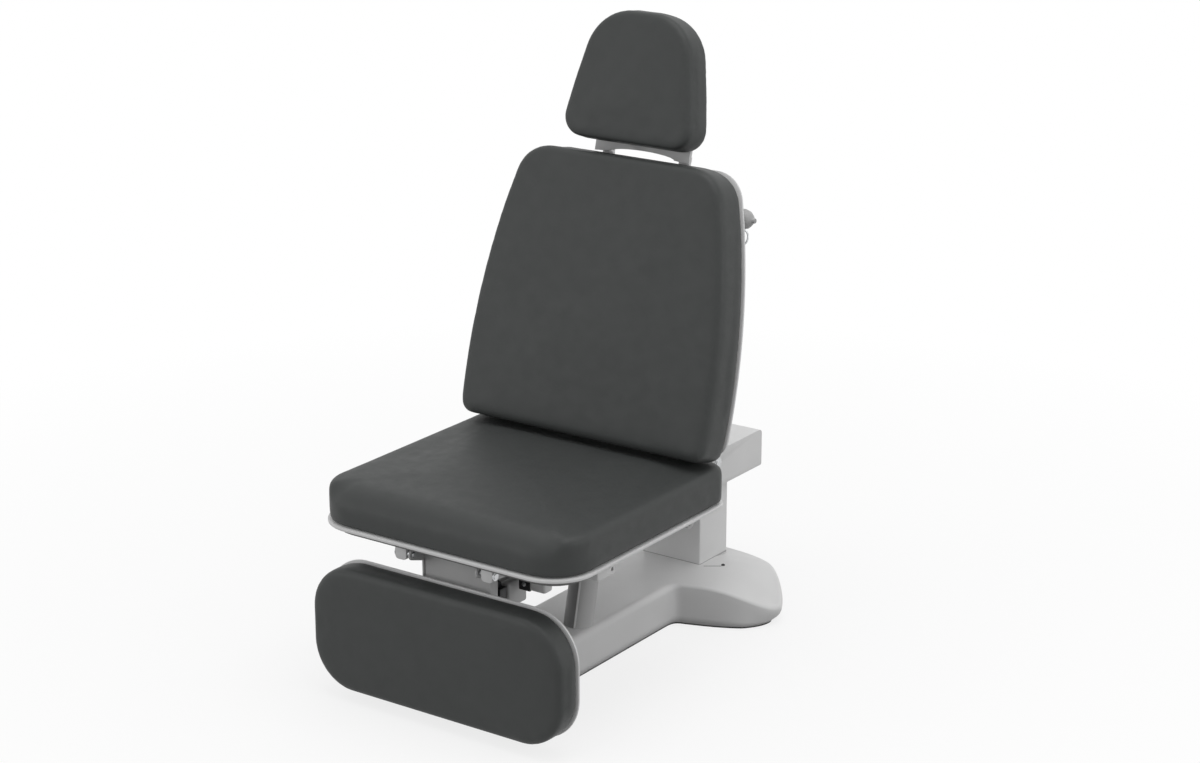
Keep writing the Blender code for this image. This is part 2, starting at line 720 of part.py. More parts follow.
# Lift arm: an inverted channel with a fork at the front and a closed tail
taper_end = BRACKET_Y + 0.080
fork_r = ARM_TOP - PIVOT_Z
fork_arc = [math.pi / 2 + math.pi * step / 10 for step in range(11)]
arm_loop = [(FORK.y + fork_r * math.cos(turn), FORK.z + fork_r * math.sin(turn)) for turn in fork_arc]
arm_loop += rounded([
    (taper_end, ARM_BOTTOM, 0), (ARM_TAIL, ARM_BOTTOM, 0.004), (ARM_TAIL, ARM_TOP, ARM_TAIL_R),
    (taper_end, ARM_TOP, 0),
])
arm_holes = [circle(side_of(PIVOT), PIN_R + PLAY), circle(side_of(FORK), PIN_R + PLAY)]
lift_arm = prism("lift_arm", [arm_loop] + arm_holes, "X", -ARM_HALF, ARM_HALF, "light_grey_paint", arm)
arm_in = ARM_HALF - WALL
roof_front = BRACKET_Y + 0.062
hollow_loop = rounded([
    (roof_front, ARM_BOTTOM - 0.02, 0), (ARM_TAIL - WALL, ARM_BOTTOM - 0.02, 0),
    (ARM_TAIL - WALL, ARM_TOP - WALL, ARM_TAIL_R - WALL), (roof_front, ARM_TOP - WALL, 0),
])
arm_hollow = prism("arm_hollow_cutter", [hollow_loop], "X", -arm_in, arm_in, None, arm)
arm_mouth = box(
    "arm_mouth_cutter", (-arm_in, BRACKET_Y - 0.06, ARM_BOTTOM - 0.02),
    (arm_in, roof_front + 0.001, ARM_TOP + 0.02),
    None, arm,
)
boolean(lift_arm, arm_hollow)
boolean(lift_arm, arm_mouth)
lug_in = CYL_X - EYE_HALF - SLIP - LUG_T
lug_r = PIN_R + 0.008
lug_arc = [math.pi + math.pi * step / 8 for step in range(9)]
lug_loop = [(PUSH.y + lug_r * math.cos(turn), PUSH.z + lug_r * math.sin(turn)) for turn in lug_arc]
lug_loop += [(PUSH.y + lug_r, ARM_TOP - WALL / 2), (PUSH.y - lug_r, ARM_TOP - WALL / 2)]
push_lug = prism("push_lug_helper", [lug_loop], "X", lug_in, lug_in + LUG_T, None, arm)
boolean(lift_arm, push_lug, "UNION")
push_hole = pin(
    "push_hole_cutter", (lug_in - 0.01, *side_of(PUSH)), (ARM_HALF + 0.01, *side_of(PUSH)), PIN_R + PLAY,
    None, arm
)
boolean(lift_arm, push_hole)
pin("push_pin", (lug_in - 0.003, *side_of(PUSH)), (pin_out, *side_of(PUSH)), PIN_R, "steel", arm)
pin("fork_pin", (-pin_out, *side_of(FORK)), (pin_out, *side_of(FORK)), PIN_R, "steel", arm)

# Parallel link
span = (LINK_PIVOT.y - LINK_END.y) / 2
link_middle = ((LINK_PIVOT.y + LINK_END.y) / 2, LINK_PIVOT.z)
link_holes = [circle(side_of(LINK_PIVOT), PIN_R + PLAY), circle(side_of(LINK_END), PIN_R + PLAY)]
link_loop = slotted(link_middle, span, LINK_R, vertical=False)
prism("lift_link", [link_loop] + link_holes, "X", -LINK_HALF, LINK_HALF, "mid_grey_paint", link)

# Seat: bracket on the lift arm, rails, pan, tray and cushion
bracket_low = LINK_END.z - BRACKET_LOW_REACH
plate_mid = RAIL_TOP - BRACKET_T / 2
bracket_loop = rounded([
    (BRACKET_Y - BRACKET_TOP_REACH, plate_mid, 0), (BRACKET_Y - BRACKET_LOW_REACH, bracket_low, BRACKET_R),
    (BRACKET_Y + BRACKET_LOW_REACH, bracket_low, BRACKET_R), (BRACKET_Y + BRACKET_TOP_REACH, plate_mid, 0),
])
bracket_holes = [circle(side_of(FORK), PIN_R + PLAY), circle(side_of(LINK_END), PIN_R + PLAY)]
bracket = prism(
    "lift_bracket", [bracket_loop] + bracket_holes, "X", -BRACKET_HALF, BRACKET_HALF, "mid_grey_paint",
    seat
)
bracket_in = BRACKET_HALF - BRACKET_CHEEK
bracket_slot = box(
    "bracket_slot_cutter", (-bracket_in, BRACKET_Y - 2 * BRACKET_TOP_REACH, bracket_low - BRACKET_R),
    (bracket_in, BRACKET_Y + 2 * BRACKET_TOP_REACH, RAIL_TOP), None, seat,
)
boolean(bracket, bracket_slot)
bracket_wing = box(
    "bracket_wing_helper", (-RAIL_IN + GAP, BRACKET_Y - BRACKET_FRONT, RAIL_TOP - BRACKET_T),
    (RAIL_IN - GAP, BRACKET_Y + BRACKET_REAR, RAIL_TOP), None, seat,
)
boolean(bracket, bracket_wing, "UNION")
link_end_out = BRACKET_HALF + 0.003
pin(
    "bracket_pin", (-link_end_out, *side_of(LINK_END)), (link_end_out, *side_of(LINK_END)), PIN_R, "steel",
    seat,
)

rail_loop = rounded([
    (RAIL_IN, RAIL_TOP, 0), (RAIL_IN, RAIL_BOTTOM, 0.007), (RAIL_IN + RAIL_W, RAIL_BOTTOM, 0.007),
    (RAIL_IN + RAIL_W, RAIL_TOP, 0),
], 3)
for side, sign in (("left", -1), ("right", 1)):
    loop = [(sign * u, v) for u, v in rail_loop]
    rail = prism("seat_rail_" + side, [loop], "Y", RAIL_FRONT, RAIL_REAR, "light_grey_paint", seat)
    low, high = sorted((sign * (RAIL_IN + RAIL_WALL), sign * (RAIL_IN + RAIL_W - RAIL_WALL)))
    hollow = box(
        "rail_hollow_cutter_" + side, (low, RAIL_FRONT + RAIL_WALL, RAIL_BOTTOM + RAIL_WALL + 0.002),
        (high, RAIL_REAR + 0.01, RAIL_TOP + 0.01), None, seat,
    )
    boolean(rail, hollow)
    hole = pin(
        "rail_hole_cutter_" + side, (sign * (RAIL_IN - 0.01), *side_of(LEG_HINGE)),
        (sign * (RAIL_IN + RAIL_W + 0.01), *side_of(LEG_HINGE)), SMALL_PIN_R + PLAY, None, seat,
    )
    boolean(rail, hole)
    pin(
        "leg_hinge_pin_" + side, (sign * (CHEEK_IN - 0.003), *side_of(LEG_HINGE)),
        (sign * (RAIL_IN + RAIL_W + 0.003), *side_of(LEG_HINGE)), SMALL_PIN_R, "steel", seat,
    )


def seat_outline(grow, steps=6):
    return rounded([
        (SEAT_HALF + grow, SEAT_FRONT - grow, SEAT_FRONT_R + grow),
        (SEAT_HALF + grow, SEAT_REAR, SEAT_REAR_R + grow),
        (-SEAT_HALF - grow, SEAT_REAR, SEAT_REAR_R + grow),
        (-SEAT_HALF - grow, SEAT_FRONT - grow, SEAT_FRONT_R + grow),
    ], steps)


pan_loop = [tuple(point) for point in inset(seat_outline(0), PAN_INSET)]
prism("seat_pan", [pan_loop], "Z", PAN_Z, PAN_Z + PAN_T, "mid_grey_paint", seat)
prism("seat_tray", [seat_outline(TRAY_OUT)], "Z", TRAY_Z, TRAY_Z + TRAY_T, "white_tray", seat)
seat_pad_loop = seat_outline(0, 10)
cushion(
    "seat_cushion", seat_pad_loop, SEAT_EDGE_Z - SEAT_PAD_Z, SEAT_EDGE_R, SEAT_CROWN, 0.008,
    lambda u, v, w: (u, v, SEAT_PAD_Z + w), seat,
)

# Recline brackets with their stub shafts, under the rear of the pan
recline_out = ARM_X + BACK_ARM_T + SLIP
pan_rear = SEAT_REAR - PAN_INSET - 0.004
recline_arc = [math.radians(-150 + 200 * step / 10) for step in range(11)]
recline_loop = [(pan_rear - 0.080, PAN_Z - GAP)]
recline_loop += [
    (RECLINE.y + HINGE_R * math.cos(turn), RECLINE.z + HINGE_R * math.sin(turn)) for turn in recline_arc
]
recline_loop += [(pan_rear, PAN_Z - GAP)]
for side, sign in (("left", -1), ("right", 1)):
    low, high = sorted((sign * recline_out, sign * (recline_out + 0.008)))
    plate = prism("recline_bracket_" + side, [recline_loop], "X", low, high, "mid_grey_paint", seat)
    stub = pin(
        "recline_stub_helper_" + side, (sign * (ARM_X - 0.003), *side_of(RECLINE)),
        (sign * (recline_out + 0.011), *side_of(RECLINE)), PIN_R, None, seat,
    )
    boolean(plate, stub, "UNION")

# Accessory bracket under the right rim
accessory = box(
    "accessory_bracket", (SEAT_HALF - PAN_INSET - 0.034, -0.340, PAN_Z - GAP - 0.022),
    (SEAT_HALF - PAN_INSET - 0.004, -0.280, PAN_Z - GAP), "white_tray", seat,
)
accessory_hole = pin(
    "accessory_hole_cutter", (0, -0.292, PAN_Z - 0.011), (SEAT_HALF, -0.292, PAN_Z - 0.011), 0.004, None,
    seat, 12
)
bevel(accessory, 0.003)
boolean(accessory, accessory_hole)

# Leg actuator: gearbox, motor and tube hang from the pan and from the lift bracket
gear_front = LEG_PIN.y + PIN_R + SLOT_PLAY + 0.010
gear_back = gear_front + GEAR_LEN
tube_back = gear_front + LEG_TRAVEL + 0.015
gear_low = LEG_ROD_Z - 0.034
gear_top = LEG_ROD_Z + 0.026
leg_gear = box(
    "leg_gearbox", (LEG_ACT_X - GEAR_HALF, gear_front, gear_low),
    (LEG_ACT_X + GEAR_HALF, gear_back, gear_top),
    "black_plastic", seat,
)
bevel(leg_gear, 0.006)
gear_lug = box(
    "leg_gear_lug_helper", (LEG_ACT_X - 0.008, gear_front + 0.009, gear_top - 0.005),
    (LEG_ACT_X + 0.008, gear_back - 0.009, PAN_Z - GAP), None, seat,
)
gear_bore = pin(
    "leg_gear_bore_cutter", (LEG_ACT_X, gear_front - 0.01, LEG_ROD_Z),
    (LEG_ACT_X, gear_back + 0.01, LEG_ROD_Z),
    ACT_ROD_R + PLAY, None, seat,
)
boolean(leg_gear, gear_lug, "UNION")
boolean(leg_gear, gear_bore)
leg_tube = pin(
    "leg_actuator_tube", (LEG_ACT_X, gear_back + GAP, LEG_ROD_Z), (LEG_ACT_X, tube_back, LEG_ROD_Z),
    ACT_TUBE_R,
    "light_grey_paint", seat, 24,
)
leg_tube_bore = pin(
    "leg_tube_bore_cutter", (LEG_ACT_X, gear_back - 0.01, LEG_ROD_Z),
    (LEG_ACT_X, tube_back - 0.004, LEG_ROD_Z),
    ACT_ROD_R + PLAY, None, seat,
)
boolean(leg_tube, leg_tube_bore)
motor_in = LEG_ACT_X + ACT_TUBE_R + GAP
leg_motor = box(
    "leg_motor", (motor_in, gear_back + GAP, gear_low + 0.002),
    (motor_in + 0.020, gear_back + MOTOR_LEN, gear_top - 0.004),
    "mid_grey_paint", seat,
)
bevel(leg_motor, 0.005)
motor_flange = box(
    "leg_motor_flange_helper", (LEG_ACT_X + GEAR_HALF - 0.008, gear_front + 0.010, LEG_ROD_Z - 0.020),
    (LEG_ACT_X + GEAR_HALF + 0.012, gear_back - 0.002, LEG_ROD_Z + 0.016), None, seat,
)
boolean(leg_gear, motor_flange, "UNION")
hanger_front = tube_back + GAP
box(
    "leg_actuator_hanger", (LEG_ACT_X - 0.014, hanger_front, LEG_ROD_Z - ACT_TUBE_R),
    (LEG_ACT_X + 0.014, hanger_front + 0.010, RAIL_TOP - BRACKET_T - GAP), "mid_grey_paint", seat,
)
slot_r = SMALL_PIN_R + SLOT_PLAY
leg_head_loop = slotted((LEG_PIN.y, LEG_ROD_Z), LEG_SLOT / 2, slot_r + 0.005)
leg_head_slot = slotted((LEG_PIN.y, LEG_ROD_Z), LEG_SLOT / 2, slot_r)
leg_head = prism(
    "leg_rod", [leg_head_loop, leg_head_slot], "X", LEG_ACT_X - HEAD_HALF, LEG_ACT_X + HEAD_HALF, "steel",
    leg_rod
)
leg_bar = pin(
    "leg_bar_helper", (LEG_ACT_X, LEG_PIN.y + slot_r + 0.002, LEG_ROD_Z),
    (LEG_ACT_X, tube_back - 0.008, LEG_ROD_Z),
    ACT_ROD_R, None, leg_rod,
)
boolean(leg_head, leg_bar, "UNION")

# Recline actuator on the left, pulling the lever of the left back arm
pull_gear_front = PULL_PIN.y - PULL_TRAVEL - SMALL_PIN_R - SLOT_PLAY - 0.008
pull_gear_back = pull_gear_front - GEAR_LEN - 0.020
pull_tube_back = pull_gear_front - PULL_TRAVEL - 0.045
pull_gear = box(
    "recline_gearbox", (-PULL_X - GEAR_HALF + 0.004, pull_gear_back, PULL_ROD_Z - 0.030),
    (-PULL_X + GEAR_HALF, pull_gear_front, PAN_Z - GAP), "black_plastic", seat,
)
bevel(pull_gear, 0.004)
pull_gear_bore = pin(
    "recline_gear_bore_cutter", (-PULL_X, pull_gear_front + 0.01, PULL_ROD_Z),
    (-PULL_X, pull_gear_back - 0.01, PULL_ROD_Z),
    ACT_ROD_R + PLAY, None, seat,
)
boolean(pull_gear, pull_gear_bore)
pull_tube = pin(
    "recline_tube", (-PULL_X, pull_gear_back - GAP, PULL_ROD_Z), (-PULL_X, pull_tube_back, PULL_ROD_Z),
    ACT_TUBE_R,
    "light_grey_paint", seat, 24,
)
pull_tube_bore = pin(
    "recline_tube_bore_cutter", (-PULL_X, pull_gear_back + 0.01, PULL_ROD_Z),
    (-PULL_X, pull_tube_back + 0.004, PULL_ROD_Z),
    ACT_ROD_R + PLAY, None, seat,
)
boolean(pull_tube, pull_tube_bore)
pull_slot_r = SMALL_PIN_R + SLOT_PLAY / 2
pull_head_loop = slotted((PULL_PIN.y, PULL_ROD_Z), PULL_SLOT / 2, pull_slot_r + 0.005)
pull_head_slot = slotted((PULL_PIN.y, PULL_ROD_Z), PULL_SLOT / 2, pull_slot_r)
pull_head = prism(
    "recline_rod", [pull_head_loop, pull_head_slot], "X", -PULL_X - HEAD_HALF + 0.001,
    -PULL_X + HEAD_HALF - 0.001,
    "steel", pull_rod,
)
pull_bar_back = pull_tube_back + 0.008 + PULL_TRAVEL
pull_bar = pin(
    "recline_bar_helper", (-PULL_X, PULL_PIN.y - pull_slot_r - 0.002, PULL_ROD_Z),
    (-PULL_X, pull_bar_back, PULL_ROD_Z),
    ACT_ROD_R, None, pull_rod,
)
boolean(pull_head, pull_bar, "UNION")

# Back: shell, cushion and two arms down to the recline hinge
back_loop = sides_of(BACK_HALF_LOW, BACK_HALF_MID, BACK_HALF_TOP, BACK_LEN, BACK_LOW_R, BACK_TOP_R)
shell_loop = sides_of(
    BACK_HALF_LOW, BACK_HALF_MID, BACK_HALF_TOP, BACK_LEN, BACK_LOW_R, BACK_TOP_R, SHELL_OUT, SHELL_LOW
)
prism("back_shell", [shell_loop], "Y", SHELL_D, SHELL_BACK, "white_tray", back)
cushion(
    "back_cushion", back_loop, BACK_T, BACK_EDGE_R, BACK_CROWN, 0.018, lambda u, v, w: (u, BACK_T - w, v),
    back
)
hinge = in_back(RECLINE)
pull = in_back(PULL_PIN)
strip_front = SHELL_BACK + GAP
strip_back = strip_front + BACK_ARM_W
hub = Vector((hinge.y, hinge.z))
hinge_hole = circle(hub, PIN_R + PLAY)
behind_seat = SEAT_REAR + SLIP
clear_low = in_back((0, behind_seat, TRAY_Z - 0.012))
clear_high = in_back((0, behind_seat, SEAT_EDGE_Z + 0.010))
strip = [(clear_low.y, clear_low.z), (clear_high.y, clear_high.z), (strip_front, clear_high.z + 0.020)]
strip += [(strip_front, BACK_ARM_TOP), (strip_back, BACK_ARM_TOP), (strip_back, 0.020)]
right_arc = [math.radians(10 - 180 * step / 10) for step in range(11)]
right_loop = strip + [
    tuple(hub + HINGE_R * Vector((math.cos(turn), math.sin(turn)))) for turn in right_arc
]
prism("back_arm_right", [right_loop, hinge_hole], "X", ARM_X, ARM_X + BACK_ARM_T, "mid_grey_paint", back)
lever_to = Vector((pull.y, pull.z))
lever_dir = (lever_to - hub).normalized()
lever_side = Vector((-lever_dir.y, lever_dir.x))
lever_r = SMALL_PIN_R + 0.006
left_loop = strip + [tuple(hub + lever_side * HINGE_R)]
lever_turns = [math.pi / 2 - math.pi * step / 8 for step in range(9)]
left_loop += [
    tuple(lever_to + lever_r * (lever_dir * math.cos(turn) + lever_side * math.sin(turn)))
    for turn in lever_turns
]
left_loop += [tuple(hub - lever_side * HINGE_R)]
left_loop += [tuple(hub + HINGE_R * Vector((-1, 0)))]
left_arm = prism(
    "back_arm_left", [left_loop, hinge_hole], "X", -ARM_X - BACK_ARM_T, -ARM_X, "mid_grey_paint", back,
)
pull_pin = pin(
    "pull_pin_helper", (-ARM_X - BACK_ARM_T / 2, pull.y, pull.z),
    (-PULL_X + HEAD_HALF + 0.002, pull.y, pull.z),
    SMALL_PIN_R, None, back,
)
boolean(left_arm, pull_pin, "UNION")

# Headrest guides on the shell, posts in them, crossbar, tilt plate and cushion
guide_front = SHELL_BACK + GAP
guide_back = STRAP_D + STRAP_T + PLAY + GUIDE_WALL
for side, sign in (("left", -1), ("right", 1)):
    low, high = sorted(
        (sign * (STRAP_IN - PLAY - GUIDE_WALL), sign * (STRAP_IN + STRAP_W + PLAY + GUIDE_WALL))
    )
    guide = box(
        "headrest_guide_" + side, (low, guide_front, GUIDE_FOOT), (high, guide_back, BACK_LEN - 0.008),
        "mid_grey_paint", back,
    )
    low, high = sorted((sign * (STRAP_IN - PLAY), sign * (STRAP_IN + STRAP_W + PLAY)))
    guide_bore = box(
        "guide_bore_cutter_" + side, (low, STRAP_D - PLAY, GUIDE_FOOT - 0.01),
        (high, STRAP_D + STRAP_T + PLAY, BACK_LEN + 0.01), None, back,
    )
    boolean(guide, guide_bore)
    low, high = sorted((sign * STRAP_IN, sign * (STRAP_IN + STRAP_W)))
    post = box(
        "headrest_post_" + side, (low, STRAP_D, STRAP_FOOT), (high, STRAP_D + STRAP_T, BAR_LOW - GAP),
        "light_grey_paint", straps,
    )
bar_back = STRAP_D + STRAP_T
bar_foot = BAR_LOW - 0.002
arch = [math.pi * step / 12 for step in range(13)]
bar_loop = [(STRAP_IN * math.cos(turn), BAR_LOW + BAR_ARCH * math.sin(turn)) for turn in arch]
bar_loop += rounded([
    (-BAR_HALF, bar_foot, 0), (-BAR_HALF, BAR_TOP, 0.020), (BAR_HALF, BAR_TOP, 0.020),
    (BAR_HALF, bar_foot, 0),
])
crossbar = prism("headrest_crossbar", [bar_loop], "Y", BAR_D, BAR_D + BAR_T, "light_grey_paint", straps)
ledge = box(
    "bar_ledge_helper", (-LEDGE_HALF, BAR_D + BAR_T / 2, BAR_TOP - BAR_FLANGE - 0.001),
    (LEDGE_HALF, bar_back, BAR_TOP - 0.001), None, straps,
)
boolean(crossbar, ledge, "UNION")
for side, sign in (("left", -1), ("right", 1)):
    low, high = sorted((sign * (STRAP_IN + 0.001), sign * (STRAP_IN + STRAP_W)))
    foot = box(
        "bar_foot_helper_" + side, (low, BAR_D + BAR_T / 2, BAR_LOW),
        (high, bar_back, BAR_LOW + 2 * BAR_FLANGE),
        None, straps,
    )
    boolean(crossbar, foot, "UNION")
for side, sign in (("left", -1), ("right", 1)):
    low, high = sorted((sign * (KNUCKLE_HALF + GAP), sign * (KNUCKLE_HALF + 0.026)))
    knuckle_loop = slotted((TILT_D, TILT_S - 0.008), 0.008, KNUCKLE_R)
    knuckle = prism(
        "knuckle_helper_" + side, [knuckle_loop, circle((TILT_D, TILT_S), TILT_PIN_R + PLAY, 14)], "X",
        low, high, None, straps
    )
    boolean(crossbar, knuckle, "UNION")
tilt_out = KNUCKLE_HALF + 0.028
pin("tilt_pin", (-tilt_out, TILT_D, TILT_S), (tilt_out, TILT_D, TILT_S), TILT_PIN_R, "steel", straps, 14)
head_low = TILT_S
head_high = HEAD_S + HEAD_LEN - 0.040
plate_back = HEAD_PLATE_D + SHELL_T
head_plate_loop = rounded([
    (-HEAD_PLATE_HALF, head_low, 0.008), (-HEAD_PLATE_HALF, head_high, 0.030),
    (HEAD_PLATE_HALF, head_high, 0.030),
    (HEAD_PLATE_HALF, head_low, 0.008),
], 4)
head_plate = prism(
    "head_plate", [head_plate_loop], "Y", HEAD_PLATE_D, plate_back, "light_grey_paint", head,
)
lug_turns = [math.radians(-90 + 180 * step / 8) for step in range(9)]
tilt_loop = [
    (TILT_D + KNUCKLE_R * math.cos(turn), TILT_S + KNUCKLE_R * math.sin(turn)) for turn in lug_turns
]
lug_foot = TILT_S + 0.001
tilt_loop += [
    (plate_back - 0.003, TILT_S + KNUCKLE_R), (plate_back - 0.003, lug_foot),
    (plate_back + 0.004, lug_foot),
]
tilt_lug = prism(
    "tilt_lug_helper", [tilt_loop, circle((TILT_D, TILT_S), TILT_PIN_R + PLAY, 14)], "X", -KNUCKLE_HALF,
    KNUCKLE_HALF, None, head
)
boolean(head_plate, tilt_lug, "UNION")
head_loop = rounded([
    (HEAD_HALF_LOW, 0, HEAD_LOW_R), (HEAD_HALF_TOP, HEAD_LEN, HEAD_TOP_R),
    (-HEAD_HALF_TOP, HEAD_LEN, HEAD_TOP_R),
    (-HEAD_HALF_LOW, 0, HEAD_LOW_R),
], 9)
cushion(
    "head_cushion", head_loop, HEAD_T, HEAD_EDGE_R, HEAD_CROWN, 0.026,
    lambda u, v, w: (u, HEAD_SET + HEAD_T - w, HEAD_S + v), head,
)

# Lock knob on its block, and the wire hook under it
block_low = STRAP_IN + STRAP_W + PLAY + GUIDE_WALL + GAP
knob_block = box(
    "knob_block", (block_low, SHELL_BACK + GAP, KNOB_S - 0.016),
    (block_low + 0.028, KNOB_D + 0.016, KNOB_S + 0.016),
    "black_plastic", back,
)
knob_bore = pin(
    "knob_bore_cutter", (block_low + 0.008, KNOB_D, KNOB_S), (block_low + 0.05, KNOB_D, KNOB_S),
    KNOB_STEM_R + PLAY, None, back
)
bevel(knob_block, 0.003)
boolean(knob_block, knob_bore)
stem = KNOB_X - block_low - 0.010
knob_profile = [
    (0, KNOB_LEN + 0.006), (0.005, KNOB_LEN + 0.006), (0.006, KNOB_LEN), (KNOB_R * 0.55, KNOB_LEN - 0.003),
    (KNOB_R * 0.85, KNOB_LEN - 0.010), (KNOB_R, KNOB_LEN - 0.020), (KNOB_R, 0.004), (KNOB_R - 0.004, 0),
    (KNOB_STEM_R, 0), (KNOB_STEM_R, -stem), (0, -stem),
]
turned("lock_knob", knob_profile, "black_plastic", knob, (KNOB_X, KNOB_D, KNOB_S), (0, math.pi / 2, 0))

hook_d = SHELL_BACK + GAP + WIRE_R
hook_in = HOOK_X - 0.034
bend = HOOK_H * 0.45
hook_path = rounded([
    (hook_in, HOOK_S + HOOK_H / 2, 0), (HOOK_X, HOOK_S + HOOK_H / 2, bend),
    (HOOK_X, HOOK_S - HOOK_H / 2, bend),
    (hook_in, HOOK_S - HOOK_H / 2, 0),
], 5)
wire = bpy.data.curves.new("hook_path", "CURVE")
wire.dimensions = "3D"
wire.bevel_depth = WIRE_R
wire.bevel_resolution = 1
wire.use_fill_caps = True
path = wire.splines.new("POLY")
path.points.add(len(hook_path) - 1)
for point, (u, v) in zip(path.points, hook_path):
    point.co = (u, hook_d, v, 1)
holder = bpy.data.objects.new("hook_path", wire)
CUTTERS.objects.link(holder)
bpy.context.view_layer.update()
wire_data = bpy.data.meshes.new_from_object(holder.evaluated_get(bpy.context.evaluated_depsgraph_get()))
bpy.data.objects.remove(holder)
bpy.data.curves.remove(wire)
mesh = bmesh.new()
mesh.from_mesh(wire_data)
bpy.data.meshes.remove(wire_data)
bmesh.ops.remove_doubles(mesh, verts=mesh.verts, dist=1e-6)
solid("back_hook", mesh, "steel", back)

# Leg rest: cheeks on the hinge pins, panel between them, lever fork, tray and cushion
ear_r = SMALL_PIN_R + 0.0065
ear_turns = [math.radians(40 + 190 * step / 12) for step in range(13)]
cheek_low = LEG_LOW + 0.080
cheek_loop = [
    (LEG_HINGE.y + ear_r * math.cos(turn), LEG_HINGE.z + ear_r * math.sin(turn)) for turn in ear_turns
]
cheek_loop += [
    (PANEL_Y - 0.003, LEG_HINGE.z - 0.022), (PANEL_Y - 0.003, LEG_TOP - 0.030),
    (LEG_TRAY_BACK + GAP, LEG_TOP - 0.050),
]
cheek_loop += [
    (LEG_TRAY_BACK + GAP, cheek_low), (PANEL_Y + 0.016, cheek_low), (PANEL_Y + 0.022, LEG_HINGE.z - 0.020),
]
cheek_hole = circle(side_of(LEG_HINGE), SMALL_PIN_R + PLAY)
for side, sign in (("left", -1), ("right", 1)):
    low, high = sorted((sign * CHEEK_IN, sign * CHEEK_OUT))
    prism("leg_cheek_" + side, [cheek_loop, cheek_hole], "X", low, high, "mid_grey_paint", leg)
box(
    "leg_panel", (-CHEEK_IN + GAP, PANEL_Y, cheek_low),
    (CHEEK_IN - GAP, PANEL_Y + WALL, LEG_HINGE.z - 0.003),
    "mid_grey_paint", leg,
)
lever_front = PANEL_Y + WALL + GAP
lever_half = LEVER_IN + LEVER_T
fork_r = SMALL_PIN_R + 0.006
fork_turns = [math.radians(-70 + 140 * step / 8) for step in range(9)]
fork_loop = [(lever_front, LEG_PIN.z + 0.045), (lever_front, LEG_PIN.z - 0.045)]
fork_loop += [
    (LEG_PIN.y + fork_r * math.cos(turn), LEG_PIN.z + fork_r * math.sin(turn)) for turn in fork_turns
]
lever = prism(
    "leg_lever", [fork_loop], "X", LEG_ACT_X - lever_half, LEG_ACT_X + lever_half, "black_plastic", leg
)
lever_slot = box(
    "leg_lever_slot_cutter", (LEG_ACT_X - LEVER_IN, lever_front - 0.01, LEG_PIN.z - 0.1),
    (LEG_ACT_X + LEVER_IN, LEG_PIN.y + 0.05, LEG_PIN.z + 0.1), None, leg,
)
boolean(lever, lever_slot)
lever_pin = pin(
    "leg_lever_pin_helper", (LEG_ACT_X - lever_half + 0.001, *side_of(LEG_PIN)),
    (LEG_ACT_X + lever_half - 0.001, *side_of(LEG_PIN)), SMALL_PIN_R, None, leg,
)
boolean(lever, lever_pin, "UNION")


def leg_outline(grow, steps=6):
    low = LEG_LOW - grow
    high = LEG_TOP + grow
    half = LEG_HALF + grow
    radius = LEG_CORNER_R + grow
    return rounded(
        [(half, low, radius), (half, high, radius), (-half, high, radius), (-half, low, radius)], steps,
    )


prism("leg_tray", [leg_outline(LEG_TRAY_OUT)], "Y", LEG_TRAY_Y, LEG_TRAY_BACK, "white_tray", leg)
cushion(
    "leg_cushion", leg_outline(0, 10), LEG_T - LEG_CROWN, LEG_EDGE_R, LEG_CROWN, 0.012,
    lambda u, v, w: (u, LEG_FRONT + LEG_T - w, v), leg,
)
bpy.context.view_layer.update()
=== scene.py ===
import json
import math

import bmesh
import bpy
from mathutils import Matrix, Vector


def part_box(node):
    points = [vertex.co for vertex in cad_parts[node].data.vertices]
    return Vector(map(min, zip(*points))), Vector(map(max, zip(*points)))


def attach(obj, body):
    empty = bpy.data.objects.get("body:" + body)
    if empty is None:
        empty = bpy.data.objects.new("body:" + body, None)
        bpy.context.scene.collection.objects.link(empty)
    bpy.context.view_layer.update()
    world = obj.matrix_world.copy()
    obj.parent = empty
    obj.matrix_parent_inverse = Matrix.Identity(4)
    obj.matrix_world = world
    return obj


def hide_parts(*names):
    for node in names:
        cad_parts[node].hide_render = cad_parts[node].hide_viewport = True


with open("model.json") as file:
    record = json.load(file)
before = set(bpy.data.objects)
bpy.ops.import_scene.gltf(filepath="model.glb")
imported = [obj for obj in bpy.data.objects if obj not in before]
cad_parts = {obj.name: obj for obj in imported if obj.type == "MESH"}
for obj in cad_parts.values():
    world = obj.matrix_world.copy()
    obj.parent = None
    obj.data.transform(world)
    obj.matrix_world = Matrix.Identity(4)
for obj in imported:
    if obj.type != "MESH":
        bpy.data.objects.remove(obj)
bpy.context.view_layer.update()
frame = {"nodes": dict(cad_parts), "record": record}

scene = bpy.context.scene
BODY = {node: body for body, nodes in frame["record"]["behaviour"]["bodies"].items() for node in nodes}
SLOT = {part["node"]: part["material_slot"] for part in frame["record"]["subparts"]}


